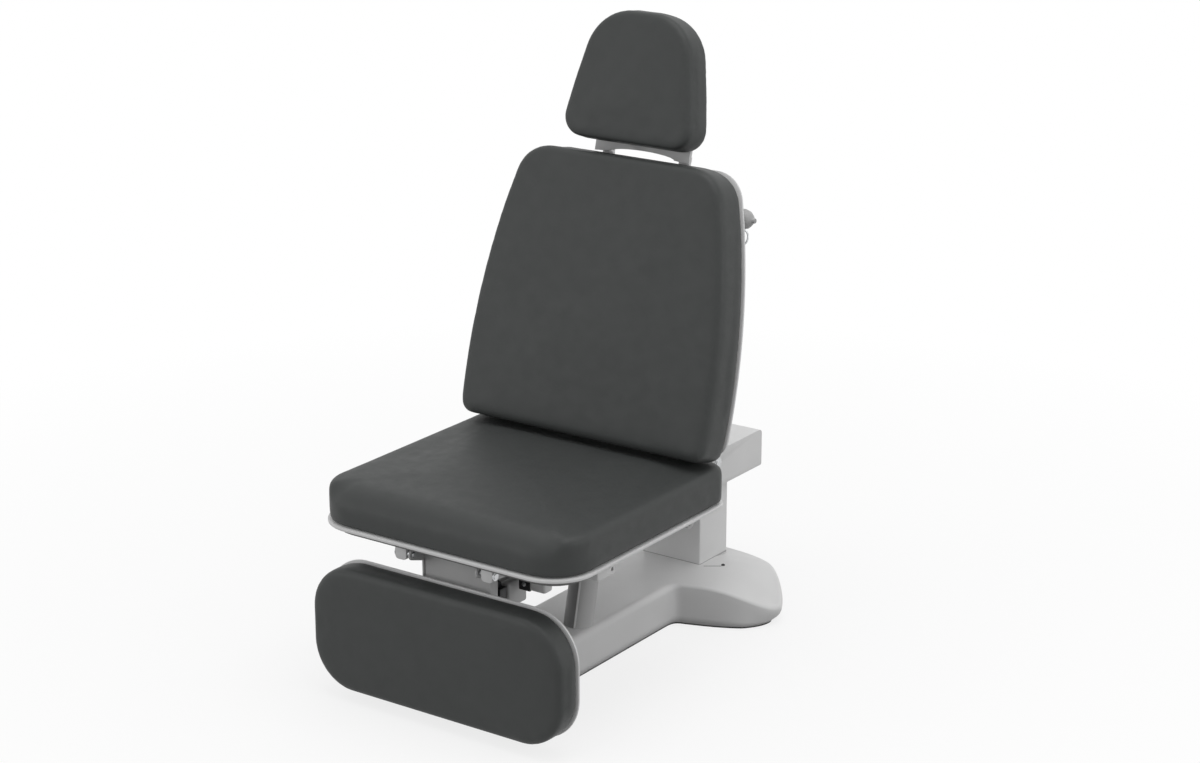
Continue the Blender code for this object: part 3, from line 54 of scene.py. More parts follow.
# Materials
class Graph:
    """A material's nodes, with short ways to add and join them."""

    def __init__(self, name, colour, roughness, metallic=0.0, shine=0.5):
        self.material = bpy.data.materials.new(name)
        self.material.use_nodes = True
        self.material.diffuse_color = (*colour, 1)
        self.tree = self.material.node_tree
        self.shader = self.tree.nodes["Principled BSDF"]
        self.shader.inputs["Base Color"].default_value = (*colour, 1)
        self.shader.inputs["Roughness"].default_value = roughness
        self.shader.inputs["Metallic"].default_value = metallic
        self.shader.inputs["Specular IOR Level"].default_value = shine
        self.coords = self.add("ShaderNodeTexCoord").outputs["Object"]

    def add(self, kind, inputs=(), **settings):
        node = self.tree.nodes.new(kind)
        for key, value in settings.items():
            setattr(node, key, value)
        for key, value in dict(inputs).items():
            self.set(node.inputs[key], value)
        return node

    def set(self, socket, value):
        if isinstance(value, bpy.types.NodeSocket):
            self.tree.links.new(value, socket)
        else:
            socket.default_value = value

    def noise(self, scale, detail=2.0, vector=None):
        node = self.add("ShaderNodeTexNoise", {"Scale": scale, "Detail": detail})
        self.set(node.inputs["Vector"], vector or self.coords)
        return node.outputs["Fac"]

    def span(self, value, low, high, to_low, to_high):
        node = self.add("ShaderNodeMapRange", {"Value": value, "From Min": low, "From Max": high})
        node.inputs["To Min"].default_value = to_low
        node.inputs["To Max"].default_value = to_high
        return node.outputs["Result"]

    def drift(self, scale, detail, low, high):
        """Noise that wanders over the whole range from low to high."""
        return self.span(self.noise(scale, detail), 0.3, 0.7, low, high)

    def math(self, operation, one, two):
        node = self.add("ShaderNodeMath", operation=operation)
        self.set(node.inputs[0], one)
        self.set(node.inputs[1], two)
        return node.outputs["Value"]

    def mix(self, factor, one, two, blend="MIX"):
        node = self.add("ShaderNodeMix", data_type="RGBA", blend_type=blend)
        self.set(node.inputs["Factor"], factor)
        self.set(node.inputs["A"], one)
        self.set(node.inputs["B"], two)
        return node.outputs["Result"]

    def tint(self, factor, colour, dark, light):
        """The colour, made darker or lighter as the factor goes from 0 to 1."""
        return self.mix(factor, shade(colour, dark), shade(colour, light))

    def bump(self, height, strength, distance):
        node = self.add("ShaderNodeBump", {"Height": height, "Strength": strength, "Distance": distance})
        self.set(self.shader.inputs["Normal"], node.outputs["Normal"])


def shade(colour, factor):
    return (*(min(1.0, channel * factor) for channel in colour), 1)


def vinyl(name, colour):
    """Soft upholstery vinyl: pebbled grain, cloudy tone and a satin skin."""
    pebbles_per_metre = 760.0
    pebble_wobble = 0.0011
    grain_depth = 0.00012
    graph = Graph(name, colour, 0.50, shine=0.36)
    wobble = graph.add("ShaderNodeTexNoise", {"Vector": graph.coords, "Scale": 420.0, "Detail": 1.0})
    shift = graph.add("ShaderNodeVectorMath", {0: wobble.outputs["Color"]}, operation="SCALE")
    shift.inputs["Scale"].default_value = pebble_wobble
    place = graph.add("ShaderNodeVectorMath", {0: graph.coords, 1: shift.outputs["Vector"]}, operation="ADD")
    cells = graph.add("ShaderNodeTexVoronoi", {"Vector": place.outputs["Vector"], "Scale": pebbles_per_metre})
    cells.feature = "DISTANCE_TO_EDGE"
    pebble = graph.span(cells.outputs["Distance"], 0.0, 0.30, 0.0, 1.0)
    tone = graph.tint(graph.drift(5.0, 4.0, 0.0, 1.0), colour, 0.96, 1.04)
    pore = graph.span(pebble, 0.0, 1.0, 0.90, 1.02)
    graph.set(graph.shader.inputs["Base Color"], graph.mix(1.0, tone, pore, "MULTIPLY"))
    satin = graph.drift(38.0, 3.0, 0.46, 0.54)
    graph.set(graph.shader.inputs["Roughness"], graph.math("ADD", satin, graph.span(pebble, 0, 1, 0.05, 0)))
    fine = graph.span(graph.noise(2600.0), 0, 1, 0, 0.35)
    graph.bump(graph.math("ADD", pebble, fine), 0.22, grain_depth)
    return graph.material


def paint(name, colour):
    """Powder coat: slight orange peel, drifting tone and a few fine specks."""
    roughness = 0.42
    peel_depth = 0.00012
    graph = Graph(name, colour, roughness, shine=0.35)
    tone = graph.tint(graph.drift(7.0, 3.0, 0.0, 1.0), colour, 0.97, 1.03)
    speck = graph.span(graph.noise(1700.0, 1.0), 0.68, 0.78, 0.0, 0.10)
    graph.set(graph.shader.inputs["Base Color"], graph.mix(speck, tone, shade(colour, 0.55)))
    graph.set(graph.shader.inputs["Roughness"], graph.drift(26.0, 3.0, roughness - 0.05, roughness + 0.05))
    graph.bump(graph.noise(900.0, 2.0), 0.10, peel_depth)
    return graph.material


def plastic(name, colour, roughness=0.40, grain=1500.0, strength=0.12):
    """Moulded plastic with a fine spark-eroded grain."""
    grain_depth = 0.0001
    graph = Graph(name, colour, roughness, shine=0.4)
    tone = graph.tint(graph.drift(9.0, 2.0, 0.0, 1.0), colour, 0.97, 1.03)
    graph.set(graph.shader.inputs["Base Color"], tone)
    graph.set(graph.shader.inputs["Roughness"], graph.drift(60.0, 3.0, roughness - 0.04, roughness + 0.06))
    graph.bump(graph.noise(grain, 3.0), strength, grain_depth)
    return graph.material


def steel(name, colour, roughness, stretch):
    """Drawn steel, its fine lines along the longest stretch."""
    line_depth = 0.00008
    graph = Graph(name, colour, roughness, 1.0)
    scaled = graph.add("ShaderNodeMapping", {"Vector": graph.coords})
    scaled.inputs["Scale"].default_value = stretch
    lines = graph.noise(900.0, 3.0, scaled.outputs["Vector"])
    tone = graph.tint(graph.span(lines, 0.3, 0.7, 0.0, 1.0), colour, 0.90, 1.06)
    graph.set(graph.shader.inputs["Base Color"], tone)
    matt = graph.span(lines, 0.3, 0.7, roughness - 0.06, roughness + 0.08)
    graph.set(graph.shader.inputs["Roughness"], matt)
    graph.bump(lines, 0.08, line_depth)
    return graph.material


def rubber(name, colour):
    """Matt rubber with a coarse grain."""
    grain_depth = 0.0002
    graph = Graph(name, colour, 0.8)
    tone = graph.tint(graph.drift(30.0, 4.0, 0.0, 1.0), colour, 0.8, 1.3)
    graph.set(graph.shader.inputs["Base Color"], tone)
    graph.set(graph.shader.inputs["Roughness"], graph.drift(120.0, 2.0, 0.72, 0.88))
    graph.bump(graph.noise(1100.0, 3.0), 0.25, grain_depth)
    return graph.material


FINISH = {
    "charcoal_vinyl": vinyl("charcoal_vinyl_skin", (0.0420, 0.0452, 0.0443)),
    "white_tray": plastic("white_tray_moulding", (0.68, 0.68, 0.68), 0.38),
    "light_grey_paint": paint("light_grey_powder_coat", (0.69, 0.69, 0.69)),
    "mid_grey_paint": paint("mid_grey_powder_coat", (0.46, 0.46, 0.46)),
    "steel": steel("drawn_steel", (0.56, 0.57, 0.58), 0.30, (1.0, 0.05, 0.05)),
    "black_plastic": plastic("black_moulding", (0.018, 0.018, 0.019), 0.42),
    "grey_plastic": plastic("grey_moulding", (0.36, 0.36, 0.36), 0.40),
    "board": plastic("sealed_board", (0.16, 0.16, 0.16), 0.60, 500.0, 0.3),
    "rubber": rubber("foot_rubber", (0.022, 0.022, 0.022)),
    # painted shade: a darker grey moulding for the sleeve over the barrel's front, standing in for the shade
    # that falls there
    "painted_shade_guard": plastic("painted_shade_moulding", (0.20, 0.20, 0.20), 0.45),
}


# Pieces
def piece(name, mesh, slot, body, smooth=30.0, look=None):
    """A finished object from a bmesh, riding on a body. Its look is its slot's, unless another is named."""
    bmesh.ops.recalc_face_normals(mesh, faces=mesh.faces)
    data = bpy.data.meshes.new(name)
    mesh.to_mesh(data)
    mesh.free()
    data.materials.append(FINISH[look or slot])
    data.shade_smooth()
    data.set_sharp_from_angle(angle=math.radians(smooth))
    made = bpy.data.objects.new(name, data)
    scene.collection.objects.link(made)
    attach(made, body)
    return made


def finish(node, mesh, smooth=30.0):
    """A piece that takes a node's place."""
    made = piece(node + "_finished", mesh, SLOT[node], BODY[node], smooth)
    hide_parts(node)
    return made


def soften(mesh, width, segments=2, sharp=32.0):
    """Round every edge that is sharper than an angle."""
    edges = [e for e in mesh.edges if e.is_manifold and e.calc_face_angle(0) > math.radians(sharp)]
    bmesh.ops.bevel(
        mesh, geom=edges, offset=width, offset_type="OFFSET", segments=segments, profile=0.5, affect="EDGES",
        clamp_overlap=True,
    )


def dress(node, width, segments):
    """The node's own form with its edges rounded."""
    weld = 2e-5
    flat = math.radians(0.7)
    mesh = bmesh.new()
    mesh.from_mesh(frame["nodes"][node].data)
    bmesh.ops.remove_doubles(mesh, verts=mesh.verts, dist=weld)
    bmesh.ops.dissolve_limit(mesh, angle_limit=flat, verts=mesh.verts, edges=mesh.edges)
    soften(mesh, width, segments)
    return finish(node, mesh)


def skin(mesh, levels, closed=True):
    """Faces between rings of vertices, each ring as long as the next."""
    for low, high in zip(levels, levels[1:]):
        for index in range(len(low) if closed else len(low) - 1):
            following = (index + 1) % len(low)
            mesh.faces.new((low[index], low[following], high[following], high[index]))


# Outlines
def rounded(corners, steps):
    """A closed outline from (u, v, radius) corners."""
    loop = []
    for index, (u, v, radius) in enumerate(corners):
        here = Vector((u, v))
        if not radius:
            loop.append(here)
            continue
        before = (Vector(corners[index - 1][:2]) - here).normalized()
        after = (Vector(corners[(index + 1) % len(corners)][:2]) - here).normalized()
        half = before.angle(after) / 2
        centre = here + (before + after).normalized() * radius / math.sin(half)
        first = here + before * radius / math.tan(half) - centre
        last = here + after * radius / math.tan(half) - centre
        arc = first.angle_signed(last)
        for step in range(steps + 1):
            loop.append(centre + Matrix.Rotation(-arc * step / steps, 2) @ first)
    return loop


def parabola(low, mid, top, share):
    """A value on the parabola through three values at the shares 0, 1/2 and 1."""
    return low * (1 - share) * (1 - 2 * share) + 4 * mid * share * (1 - share) + top * share * (2 * share - 1)


def tapered(low, mid, top, length, low_radius, top_radius, steps=12):
    """An outline whose half width follows a parabola up its length."""
    spans = 24
    clear = 1.3
    right = []
    for count in range(spans + 1):
        share = count / spans
        up = share * length
        radius = {0: low_radius, spans: top_radius}.get(count, 0)
        if radius or (up > clear * low_radius and length - up > clear * top_radius):
            right.append((parabola(low, mid, top, share), up, radius))
    return rounded(right + [(-u, v, radius) for u, v, radius in reversed(right)], steps)


def inset(loop, distance):
    """The outline moved inwards by one distance, or by one for each point."""
    distances = distance if isinstance(distance, list) else [distance] * len(loop)
    area = sum(one.x * two.y - two.x * one.y for one, two in zip(loop, loop[1:] + loop[:1]))
    side = 1 if area > 0 else -1
    moved = []
    for index, point in enumerate(loop):
        along = (loop[(index + 1) % len(loop)] - loop[index - 1]).normalized()
        moved.append(point + Vector((-along.y, along.x)) * distances[index] * side)
    return moved


def bezier(one, two, three, four, steps):
    """Points of a cubic curve, without its start."""
    points = []
    for step in range(1, steps + 1):
        t = step / steps
        s = 1 - t
        near = Vector(one) * s**3 + Vector(two) * 3 * s * s * t
        far = Vector(three) * 3 * s * t * t + Vector(four) * t**3
        points.append(near + far)
    return points


def ease(value, low, high):
    """0 up to low, 1 from high on, and a soft step between them."""
    share = min(1.0, max(0.0, (value - low) / (high - low)))
    return share * share * (3 - 2 * share)


# Upholstery
TUCK_STEPS = 8
EDGE_STEPS = 14
CROWN_STEPS = 12
HELD_BAND = 0.010
CLOTH_FRAMES = 20


def pad_form(loop, thickness, edge, crown, tuck, place):
    """A pad's closed surface: a drawn-in side, a round edge and a crowned face.

    The edge is a function that gives (in, down) for a point of the outline, and the tuck is (in, up).
    """
    edges = [edge(point) for point in loop]
    rings = []
    for step in range(TUCK_STEPS + 1):
        turn = math.pi / 2 * step / TUCK_STEPS
        drawn = inset(loop, tuck[0] * (1 - math.sin(turn)))
        rings.append([(point, tuck[1] * (1 - math.cos(turn))) for point in drawn])
    for step in range(EDGE_STEPS + 1):
        turn = math.pi / 2 * step / EDGE_STEPS
        ring = inset(loop, [into * (1 - math.cos(turn)) for into, drop in edges])
        rings.append([(p, thickness - drop * (1 - math.sin(turn))) for p, (into, drop) in zip(ring, edges)])
    rim = [point for point, height in rings[-1]]
    middle = sum(rim, Vector((0, 0))) / len(rim)
    for count in range(1, CROWN_STEPS):
        share = 1 - count / CROWN_STEPS
        height = thickness + crown * (1 - share * share) ** 2
        rings.append([(middle + (point - middle) * share, height) for point in rim])
    mesh = bmesh.new()
    levels = [[mesh.verts.new(place(point.x, point.y, height)) for point, height in ring] for ring in rings]
    skin(mesh, levels)
    mesh.faces.new(levels[0])
    peak = mesh.verts.new(place(middle.x, middle.y, thickness + crown))
    for index in range(len(levels[-1])):
        mesh.faces.new((levels[-1][index], levels[-1][(index + 1) % len(levels[-1])], peak))
    bmesh.ops.recalc_face_normals(mesh, faces=mesh.faces)
    return mesh


def applied(made):
    """Bake the object's modifiers into its mesh."""
    data = bpy.data.meshes.new_from_object(made.evaluated_get(bpy.context.evaluated_depsgraph_get()))
    made.modifiers.clear()
    made.data = data


def smoothed(made, rounds):
    """Even out the object's mesh."""
    settle = made.modifiers.new("settle", "SMOOTH")
    settle.factor = 0.5
    settle.iterations = rounds
    applied(made)


def stuffed(name, node, mesh, out, base, voxel, swell):
    """An upholstered pad: the form, evenly meshed and then puffed up by cloth pressure."""
    data = bpy.data.meshes.new(name)
    mesh.to_mesh(data)
    mesh.free()
    made = bpy.data.objects.new(name, data)
    scene.collection.objects.link(made)
    even = made.modifiers.new("even", "REMESH")
    even.mode = "VOXEL"
    even.voxel_size = voxel
    bpy.context.view_layer.update()
    applied(made)
    smoothed(made, 5)
    start = [vertex.co - vertex.normal * swell for vertex in made.data.vertices]
    held = made.vertex_groups.new(name="held")
    for index, point in enumerate(start):
        rise = (point - base).dot(out)
        made.data.vertices[index].co = point
        if rise < HELD_BAND:
            held.add([index], min(1.0, 1.0 - rise / HELD_BAND), "REPLACE")
    cloth = made.modifiers.new("cloth", "CLOTH")
    cloth.settings.quality = 4
    cloth.settings.mass = 0.25
    cloth.settings.tension_stiffness = 18
    cloth.settings.compression_stiffness = 18
    cloth.settings.shear_stiffness = 8
    cloth.settings.bending_stiffness = 2.0
    cloth.settings.use_pressure = True
    cloth.settings.uniform_pressure_force = 4.0
    cloth.settings.vertex_group_mass = "held"
    cloth.settings.effector_weights.gravity = 0.0
    cloth.collision_settings.use_collision = False
    cloth.point_cache.frame_start = 1
    cloth.point_cache.frame_end = CLOTH_FRAMES
    for count in range(1, CLOTH_FRAMES + 1):
        scene.frame_set(count)
    applied(made)
    scene.frame_set(1)
    for vertex, first in zip(made.data.vertices, start):
        moved = vertex.co - first
        if moved.length > 2 * swell:
            vertex.co = first + moved * (2 * swell / moved.length)
    smoothed(made, 4)
    made.vertex_groups.clear()
    finer = made.modifiers.new("finer", "SUBSURF")
    finer.levels = 1
    finer.render_levels = 1
    made.data.materials.clear()
    made.data.materials.append(FINISH["charcoal_vinyl"])
    made.data.shade_smooth()
    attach(made, BODY[node])
    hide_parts(node)
    return made


# Places: the back and the headrest lean together, and small gaps part neighbours
GAP = 0.0003
SLIP = 0.0004
LEAN = math.radians(15.5)
BACK_AT = Vector((0, -0.05645, 0.4682))
BACK_IN = Vector((0, math.cos(LEAN), -math.sin(LEAN)))
BACK_UP = Vector((0, math.sin(LEAN), math.cos(LEAN)))


def on_back(u, depth, up):
    """A point across, into and up the leaning back."""
    return Vector((u, 0, 0)) + BACK_AT + BACK_IN * depth + BACK_UP * up


# Seat pad, on an outline that its tray shares
seat_low, seat_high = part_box("seat_cushion")
SEAT_FRONT_R = 0.086
SEAT_REAR_R = 0.042
SEAT_CROWN = 0.009
SEAT_PROUD = 0.0015
SEAT_GROW = 0.001
SEAT_TUCK = (0.005, 0.020)
SEAT_EDGE = (0.019, 0.017)
SEAT_FALL = (0.037, 0.031)
FALL_BAND = 0.030
FALL_EASE = 0.026
RISE = 0.005
RISE_FRONT = (-0.190, -0.065)
RISE_REAR = (-0.055, -0.018)
RISE_SIDE = (0.15, 0.29)
seat_thick = seat_high[2] - seat_low[2] - SEAT_CROWN + SEAT_PROUD


def seat_loop(grow, steps=14):
    half = seat_high[0] + grow
    front = seat_low[1] - grow
    return rounded([
        (half, front, SEAT_FRONT_R + grow), (half, seat_high[1], SEAT_REAR_R + grow),
        (-half, seat_high[1], SEAT_REAR_R + grow), (-half, front, SEAT_FRONT_R + grow),
    ], steps)


def seat_edge(point):
    """A waterfall along the front, tight round the corners, the sides and the rear."""
    front = ease(seat_low[1] + FALL_BAND - point.y, 0.0, FALL_EASE)
    return [edge + fall * front for edge, fall in zip(SEAT_EDGE, SEAT_FALL)]


def seat_place(u, v, w):
    """The pad rises a little where the foot of the back stands over it."""
    rise = RISE * ease(v, *RISE_FRONT) * (1 - ease(v, *RISE_REAR)) * (1 - ease(abs(u), *RISE_SIDE))
    return (u, v, seat_low[2] + w + rise * w / seat_thick)


stuffed(
    "seat_upholstery", "seat_cushion",
    pad_form(seat_loop(SEAT_GROW), seat_thick, seat_edge, SEAT_CROWN, SEAT_TUCK, seat_place),
    Vector((0, 0, 1)), Vector((0, 0, seat_low[2])), voxel=0.005, swell=0.0007,
)

# Back pad
BACK_LEN = 0.583
BACK_T = 0.088
BACK_WIDTHS = (0.3047, 0.2989, 0.2382)
BACK_LOW_R = 0.030
BACK_TOP_R = 0.079
BACK_EDGE = (0.015, 0.014)
BACK_CROWN = 0.006
BACK_TUCK = (0.006, 0.020)
back_loop = tapered(*BACK_WIDTHS, BACK_LEN, BACK_LOW_R, BACK_TOP_R)
stuffed(
    "back_upholstery", "back_cushion",
    pad_form(
        back_loop, BACK_T, lambda point: BACK_EDGE, BACK_CROWN, BACK_TUCK,
        lambda u, v, w: on_back(u, BACK_T - w, v),
    ),
    -BACK_IN, on_back(0, BACK_T, 0), voxel=0.006, swell=0.0007,
)

# Headrest pad
HEAD_GAP = 0.0245
HEAD_UP = BACK_LEN + HEAD_GAP
HEAD_BACK = 0.074
HEAD_T = 0.070
HEAD_LEN = 0.2700
HEAD_WIDTHS = (0.1645, 0.1415, 0.1115)
HEAD_LOW_R = 0.044
HEAD_TOP_R = 0.104
HEAD_EDGE = (0.014, 0.013)
HEAD_CROWN = 0.008
HEAD_TUCK = (0.004, 0.012)
head_loop = tapered(*HEAD_WIDTHS, HEAD_LEN, HEAD_LOW_R, HEAD_TOP_R, 16)
stuffed(
    "head_upholstery", "head_cushion",
    pad_form(
        head_loop, HEAD_T, lambda point: HEAD_EDGE, HEAD_CROWN, HEAD_TUCK,
        lambda u, v, w: on_back(u, HEAD_BACK - w, HEAD_UP + v),
    ),
    -BACK_IN, on_back(0, HEAD_BACK, HEAD_UP), voxel=0.004, swell=0.0006,
)

# Leg pad
leg_low, leg_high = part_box("leg_cushion")
LEG_R = 0.098
LEG_CROWN = 0.004
LEG_IN = 0.0025
LEG_RAISE = 0.0045
LEG_GROW = 0.001
LEG_EDGE = (0.014, 0.013)
LEG_TUCK = (0.006, 0.020)


def leg_loop(grow, steps=16):
    half = leg_high[0] - LEG_IN + grow
    low = leg_low[2] + LEG_RAISE - grow
    high = leg_high[2] + grow
    radius = LEG_R + grow
    corners = [(half, low), (half, high), (-half, high), (-half, low)]
    return rounded([(u, v, radius) for u, v in corners], steps)


leg_thick = leg_high[1] - leg_low[1] - LEG_CROWN
stuffed(
    "leg_upholstery", "leg_cushion",
    pad_form(
        leg_loop(LEG_GROW), leg_thick, lambda point: LEG_EDGE, LEG_CROWN, LEG_TUCK,
        lambda u, v, w: (u, leg_high[1] - w, v),
    ),
    Vector((0, -1, 0)), Vector((0, leg_high[1], 0)), voxel=0.005, swell=0.0007,
)


# Trays and shell: a full rim, then a wall drawn in to a flat back
def dish(node, loop, rim, depth, draw, place):
    """A shallow tray: its lip, a rim and a wall that curves in to the flat back."""
    edge = 0.0012
    steps = 8
    rings = [(edge, 0.0), (edge * 0.3, edge * 0.3), (0.0, edge)]
    for step in range(steps + 1):
        turn = math.pi / 2 * step / steps
        rings.append((draw * (1 - math.cos(turn)), rim + (depth - rim) * math.sin(turn)))
    mesh = bmesh.new()
    levels = [[mesh.verts.new(place(p.x, p.y, down)) for p in inset(loop, into)] for into, down in rings]
    skin(mesh, levels)
    mesh.faces.new(levels[0])
    mesh.faces.new(levels[-1])
    return finish(node, mesh, 40.0)


tray_low, tray_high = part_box("seat_tray")
TRAY_IN = 0.0012
TRAY_RIM = 0.0048
TRAY_DRAW = 0.006
dish(
    "seat_tray", seat_loop(tray_high[0] - seat_high[0] - TRAY_IN), TRAY_RIM, tray_high[2] - tray_low[2],
    TRAY_DRAW, lambda u, v, w: (u, v, tray_high[2] - w),
)
leg_tray_low, leg_tray_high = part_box("leg_tray")
LEG_TRAY_RIM = 0.0035
LEG_TRAY_DRAW = 0.024
dish(
    "leg_tray", leg_loop(leg_tray_high[0] - leg_high[0]), LEG_TRAY_RIM, leg_tray_high[1] - leg_tray_low[1],
    LEG_TRAY_DRAW, lambda u, v, w: (u, leg_tray_low[1] + w, v),
)
SHELL_T = 0.008
SHELL_LOW = 0.014
SHELL_IN = 0.0010
SHELL_TOP_R = 0.071
SHELL_LOW_R = 0.034
SHELL_RIM = 0.0035
SHELL_DRAW = 0.026
shell_start = SHELL_LOW / BACK_LEN
shell_widths = [parabola(*BACK_WIDTHS, share) for share in (shell_start, (1 + shell_start) / 2, 1)]
shell_full = tapered(*shell_widths, BACK_LEN - SHELL_LOW, SHELL_LOW_R, SHELL_TOP_R)
shell_loop = [point + Vector((0, SHELL_LOW)) for point in inset(shell_full, SHELL_IN)]
dish(
    "back_shell", shell_loop, SHELL_RIM, SHELL_T, SHELL_DRAW,
    lambda u, v, w: on_back(u, BACK_T + GAP + w, v),
)

# Base cover: a beam with two wings, crisp along the wings' front walls
cover_low, cover_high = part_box("base_cover")
BEAM_HALF = 0.090
NOSE_R = 0.030
WING_ROOT = 0.150
WING_FLAT = 0.140
WING_FALL = 0.055
REAR_FALL = 0.030
COLUMN_Y = 0.359
BEAM_SHOULDER = 0.016
WALL_SHOULDER = 0.007
REAR_SHOULDER = 0.012
FOOT_TUCK = 0.022
TUCK_FROM = 0.55
COVER_WALL = 0.0035


def cover_height(x, y):
    """The height of the cover's top, which falls off along the wings and to the rear."""
    wing = max(0.0, abs(x) - WING_FLAT) / (cover_high[0] - WING_FLAT)
    behind = max(0.0, y - COLUMN_Y) / (cover_high[1] - COLUMN_Y)
    return cover_high[2] - math.hypot(WING_FALL * wing**2, REAR_FALL * behind**1.5)


def cover_outline():
    """The right half of the plan outline: points with their shoulder radius and their tuck at the floor."""
    nose_steps = 10
    beam_steps = 24
    front = cover_low[1]
    nose = Vector((BEAM_HALF - NOSE_R, front + NOSE_R))
    points = [(Vector((x, front)), BEAM_SHOULDER, 0.0) for x in (0.0, nose.x * 0.5, nose.x)]
    for step in range(1, nose_steps + 1):
        turn = math.pi / 2 * step / nose_steps
        points.append((nose + NOSE_R * Vector((math.sin(turn), -math.cos(turn))), BEAM_SHOULDER, 0.0))
    for step in range(1, beam_steps + 1):
        along = nose.y + (WING_ROOT - nose.y) * step / beam_steps
        points.append((Vector((BEAM_HALF, along)), BEAM_SHOULDER, 0.0))
    root = (BEAM_HALF, WING_ROOT)
    corner = (BEAM_HALF + 0.024, WING_ROOT + 0.036)
    fillet = bezier(root, (BEAM_HALF, WING_ROOT + 0.026), (BEAM_HALF + 0.006, WING_ROOT + 0.031), corner, 12)
    for step, point in enumerate(fillet):
        share = (step + 1) / len(fillet)
        points.append((point, BEAM_SHOULDER + (WALL_SHOULDER - BEAM_SHOULDER) * share, 0.0))
    end = cover_high[0]
    rear = cover_high[1]
    tip = (end, WING_ROOT + 0.160)
    wall = bezier(corner, (0.178, WING_ROOT + 0.057), (end - 0.004, WING_ROOT + 0.092), tip, 26)
    for step, point in enumerate(wall):
        share = (step + 1) / len(wall)
        shoulder = WALL_SHOULDER + (REAR_SHOULDER - WALL_SHOULDER) * share**3
        points.append((point, shoulder, FOOT_TUCK * max(0.0, share - TUCK_FROM) / (1 - TUCK_FROM)))
    round_end = bezier(tip, (end - 0.010, WING_ROOT + 0.202), (0.155, rear), (0.0, rear), 30)
    return points + [(point, REAR_SHOULDER, FOOT_TUCK) for point in round_end]


def outward_at(outline, index):
    """The plan direction that points out of the cover at a point of its outline."""
    if abs(outline[index][0].x) < 1e-6:
        return Vector((0, -1 if index == 0 else 1))
    before = outline[max(0, index - 1)][0]
    after = outline[min(len(outline) - 1, index + 1)][0]
    along = (after - before).normalized()
    return Vector((along.y, -along.x))


def cover_form():
    """Sections from the floor up the wall, over the shoulder and in to a centre ridge."""
    outline = cover_outline()
    wall_steps = 5
    shoulder_steps = 6
    top_steps = 12
    ridge_in = 0.060
    ridge_front = cover_low[1] + ridge_in
    ridge_rear = cover_high[1] - ridge_in
    floor = cover_low[2]
    sections = []
    for index, (point, shoulder, tuck) in enumerate(outline):
        outward = outward_at(outline, index)
        inner = point - outward * shoulder
        top = cover_height(inner.x, inner.y)
        section = []
        for step in range(wall_steps):
            rise = step / wall_steps
            place = point - outward * tuck * (1 - rise) ** 2
            section.append((*place, floor + (top - shoulder - floor) * rise))
        for step in range(shoulder_steps + 1):
            turn = math.pi / 2 * step / shoulder_steps
            place = inner + outward * shoulder * math.cos(turn)
            section.append((*place, top - shoulder * (1 - math.sin(turn))))
        ridge = Vector((0, min(max(inner.y, ridge_front), ridge_rear)))
        for step in range(1, top_steps + 1):
            place = inner.lerp(ridge, step / top_steps)
            section.append((*place, cover_height(place.x, place.y)))
        sections.append(section)
    mesh = bmesh.new()
    for side in (1, -1):
        levels = [[mesh.verts.new((side * x, y, z)) for x, y, z in section] for section in sections]
        skin(mesh, levels, closed=False)
    bmesh.ops.remove_doubles(mesh, verts=mesh.verts, dist=1e-5)
    return mesh


cover = finish("base_cover", cover_form(), 50.0)
wall = cover.modifiers.new("wall", "SOLIDIFY")
wall.thickness = COVER_WALL
wall.offset = -1

# The other hard parts keep their form and get rounded edges
FINE = (0.0008, 2)
WIDE = {
    "pedestal_cover": (0.004, 3), "lift_arm": (0.003, 3), "leg_gearbox": (0.0015, 2),
    "recline_gearbox": (0.003, 3), "leg_motor": (0.0015, 2),
}
DONE = {
    "seat_cushion", "back_cushion", "head_cushion", "leg_cushion",
    "seat_tray", "leg_tray", "back_shell", "base_cover",
}
for node in sorted(set(frame["nodes"]) - DONE):
    dress(node, *WIDE.get(node, FINE))


# Fixings and small parts
def lathe(mesh, profile, at, axis, sides=24, ring=False):
    """Turn (radius, height) points round an axis. A ring joins its last point to its first."""
    turn = Vector((0, 0, 1)).rotation_difference(Vector(axis)).to_matrix()
    levels = []
    for radius, height in profile:
        level = []
        for step in range(sides):
            angle = 2 * math.pi * step / sides
            spot = Vector((radius * math.cos(angle), radius * math.sin(angle), height))
            level.append(mesh.verts.new(Vector(at) + turn @ spot))
        levels.append(level)
    if ring:
        skin(mesh, levels + levels[:1])
        return
    skin(mesh, levels)
    mesh.faces.new(levels[0])
    mesh.faces.new(levels[-1])


def screws(name, places, axis, radius, slot, body):
    """Round heads with a socket, as one piece."""
    profile = [(1.0, 0.0), (1.0, 0.30), (0.92, 0.52), (0.76, 0.62), (0.48, 0.62), (0.44, 0.58), (0.42, 0.25)]
    mesh = bmesh.new()
    for place in places:
        lathe(mesh, [(radius * r, radius * h) for r, h in profile], place, axis)
    return piece(name, mesh, slot, body)


def clips(name, places, inner, outer, slot, body):
    """Retaining rings round cross pins, as one piece."""
    half = 0.0006
    edge = 0.0003
    profile = [
        (inner, -half), (outer - edge, -half), (outer, -half + edge),
        (outer, half - edge), (outer - edge, half), (inner, half),
    ]
    mesh = bmesh.new()
    for place in places:
        lathe(mesh, profile, place, (1, 0, 0), 28, ring=True)
    return piece(name, mesh, slot, body)


def collar(name, loops, heights, slot, body):
    """A closed band from outlines at given heights."""
    mesh = bmesh.new()
    levels = [[mesh.verts.new((p.x, p.y, z)) for p in loop] for loop, z in zip(loops, heights)]
    skin(mesh, levels + levels[:1])
    return piece(name, mesh, slot, body)


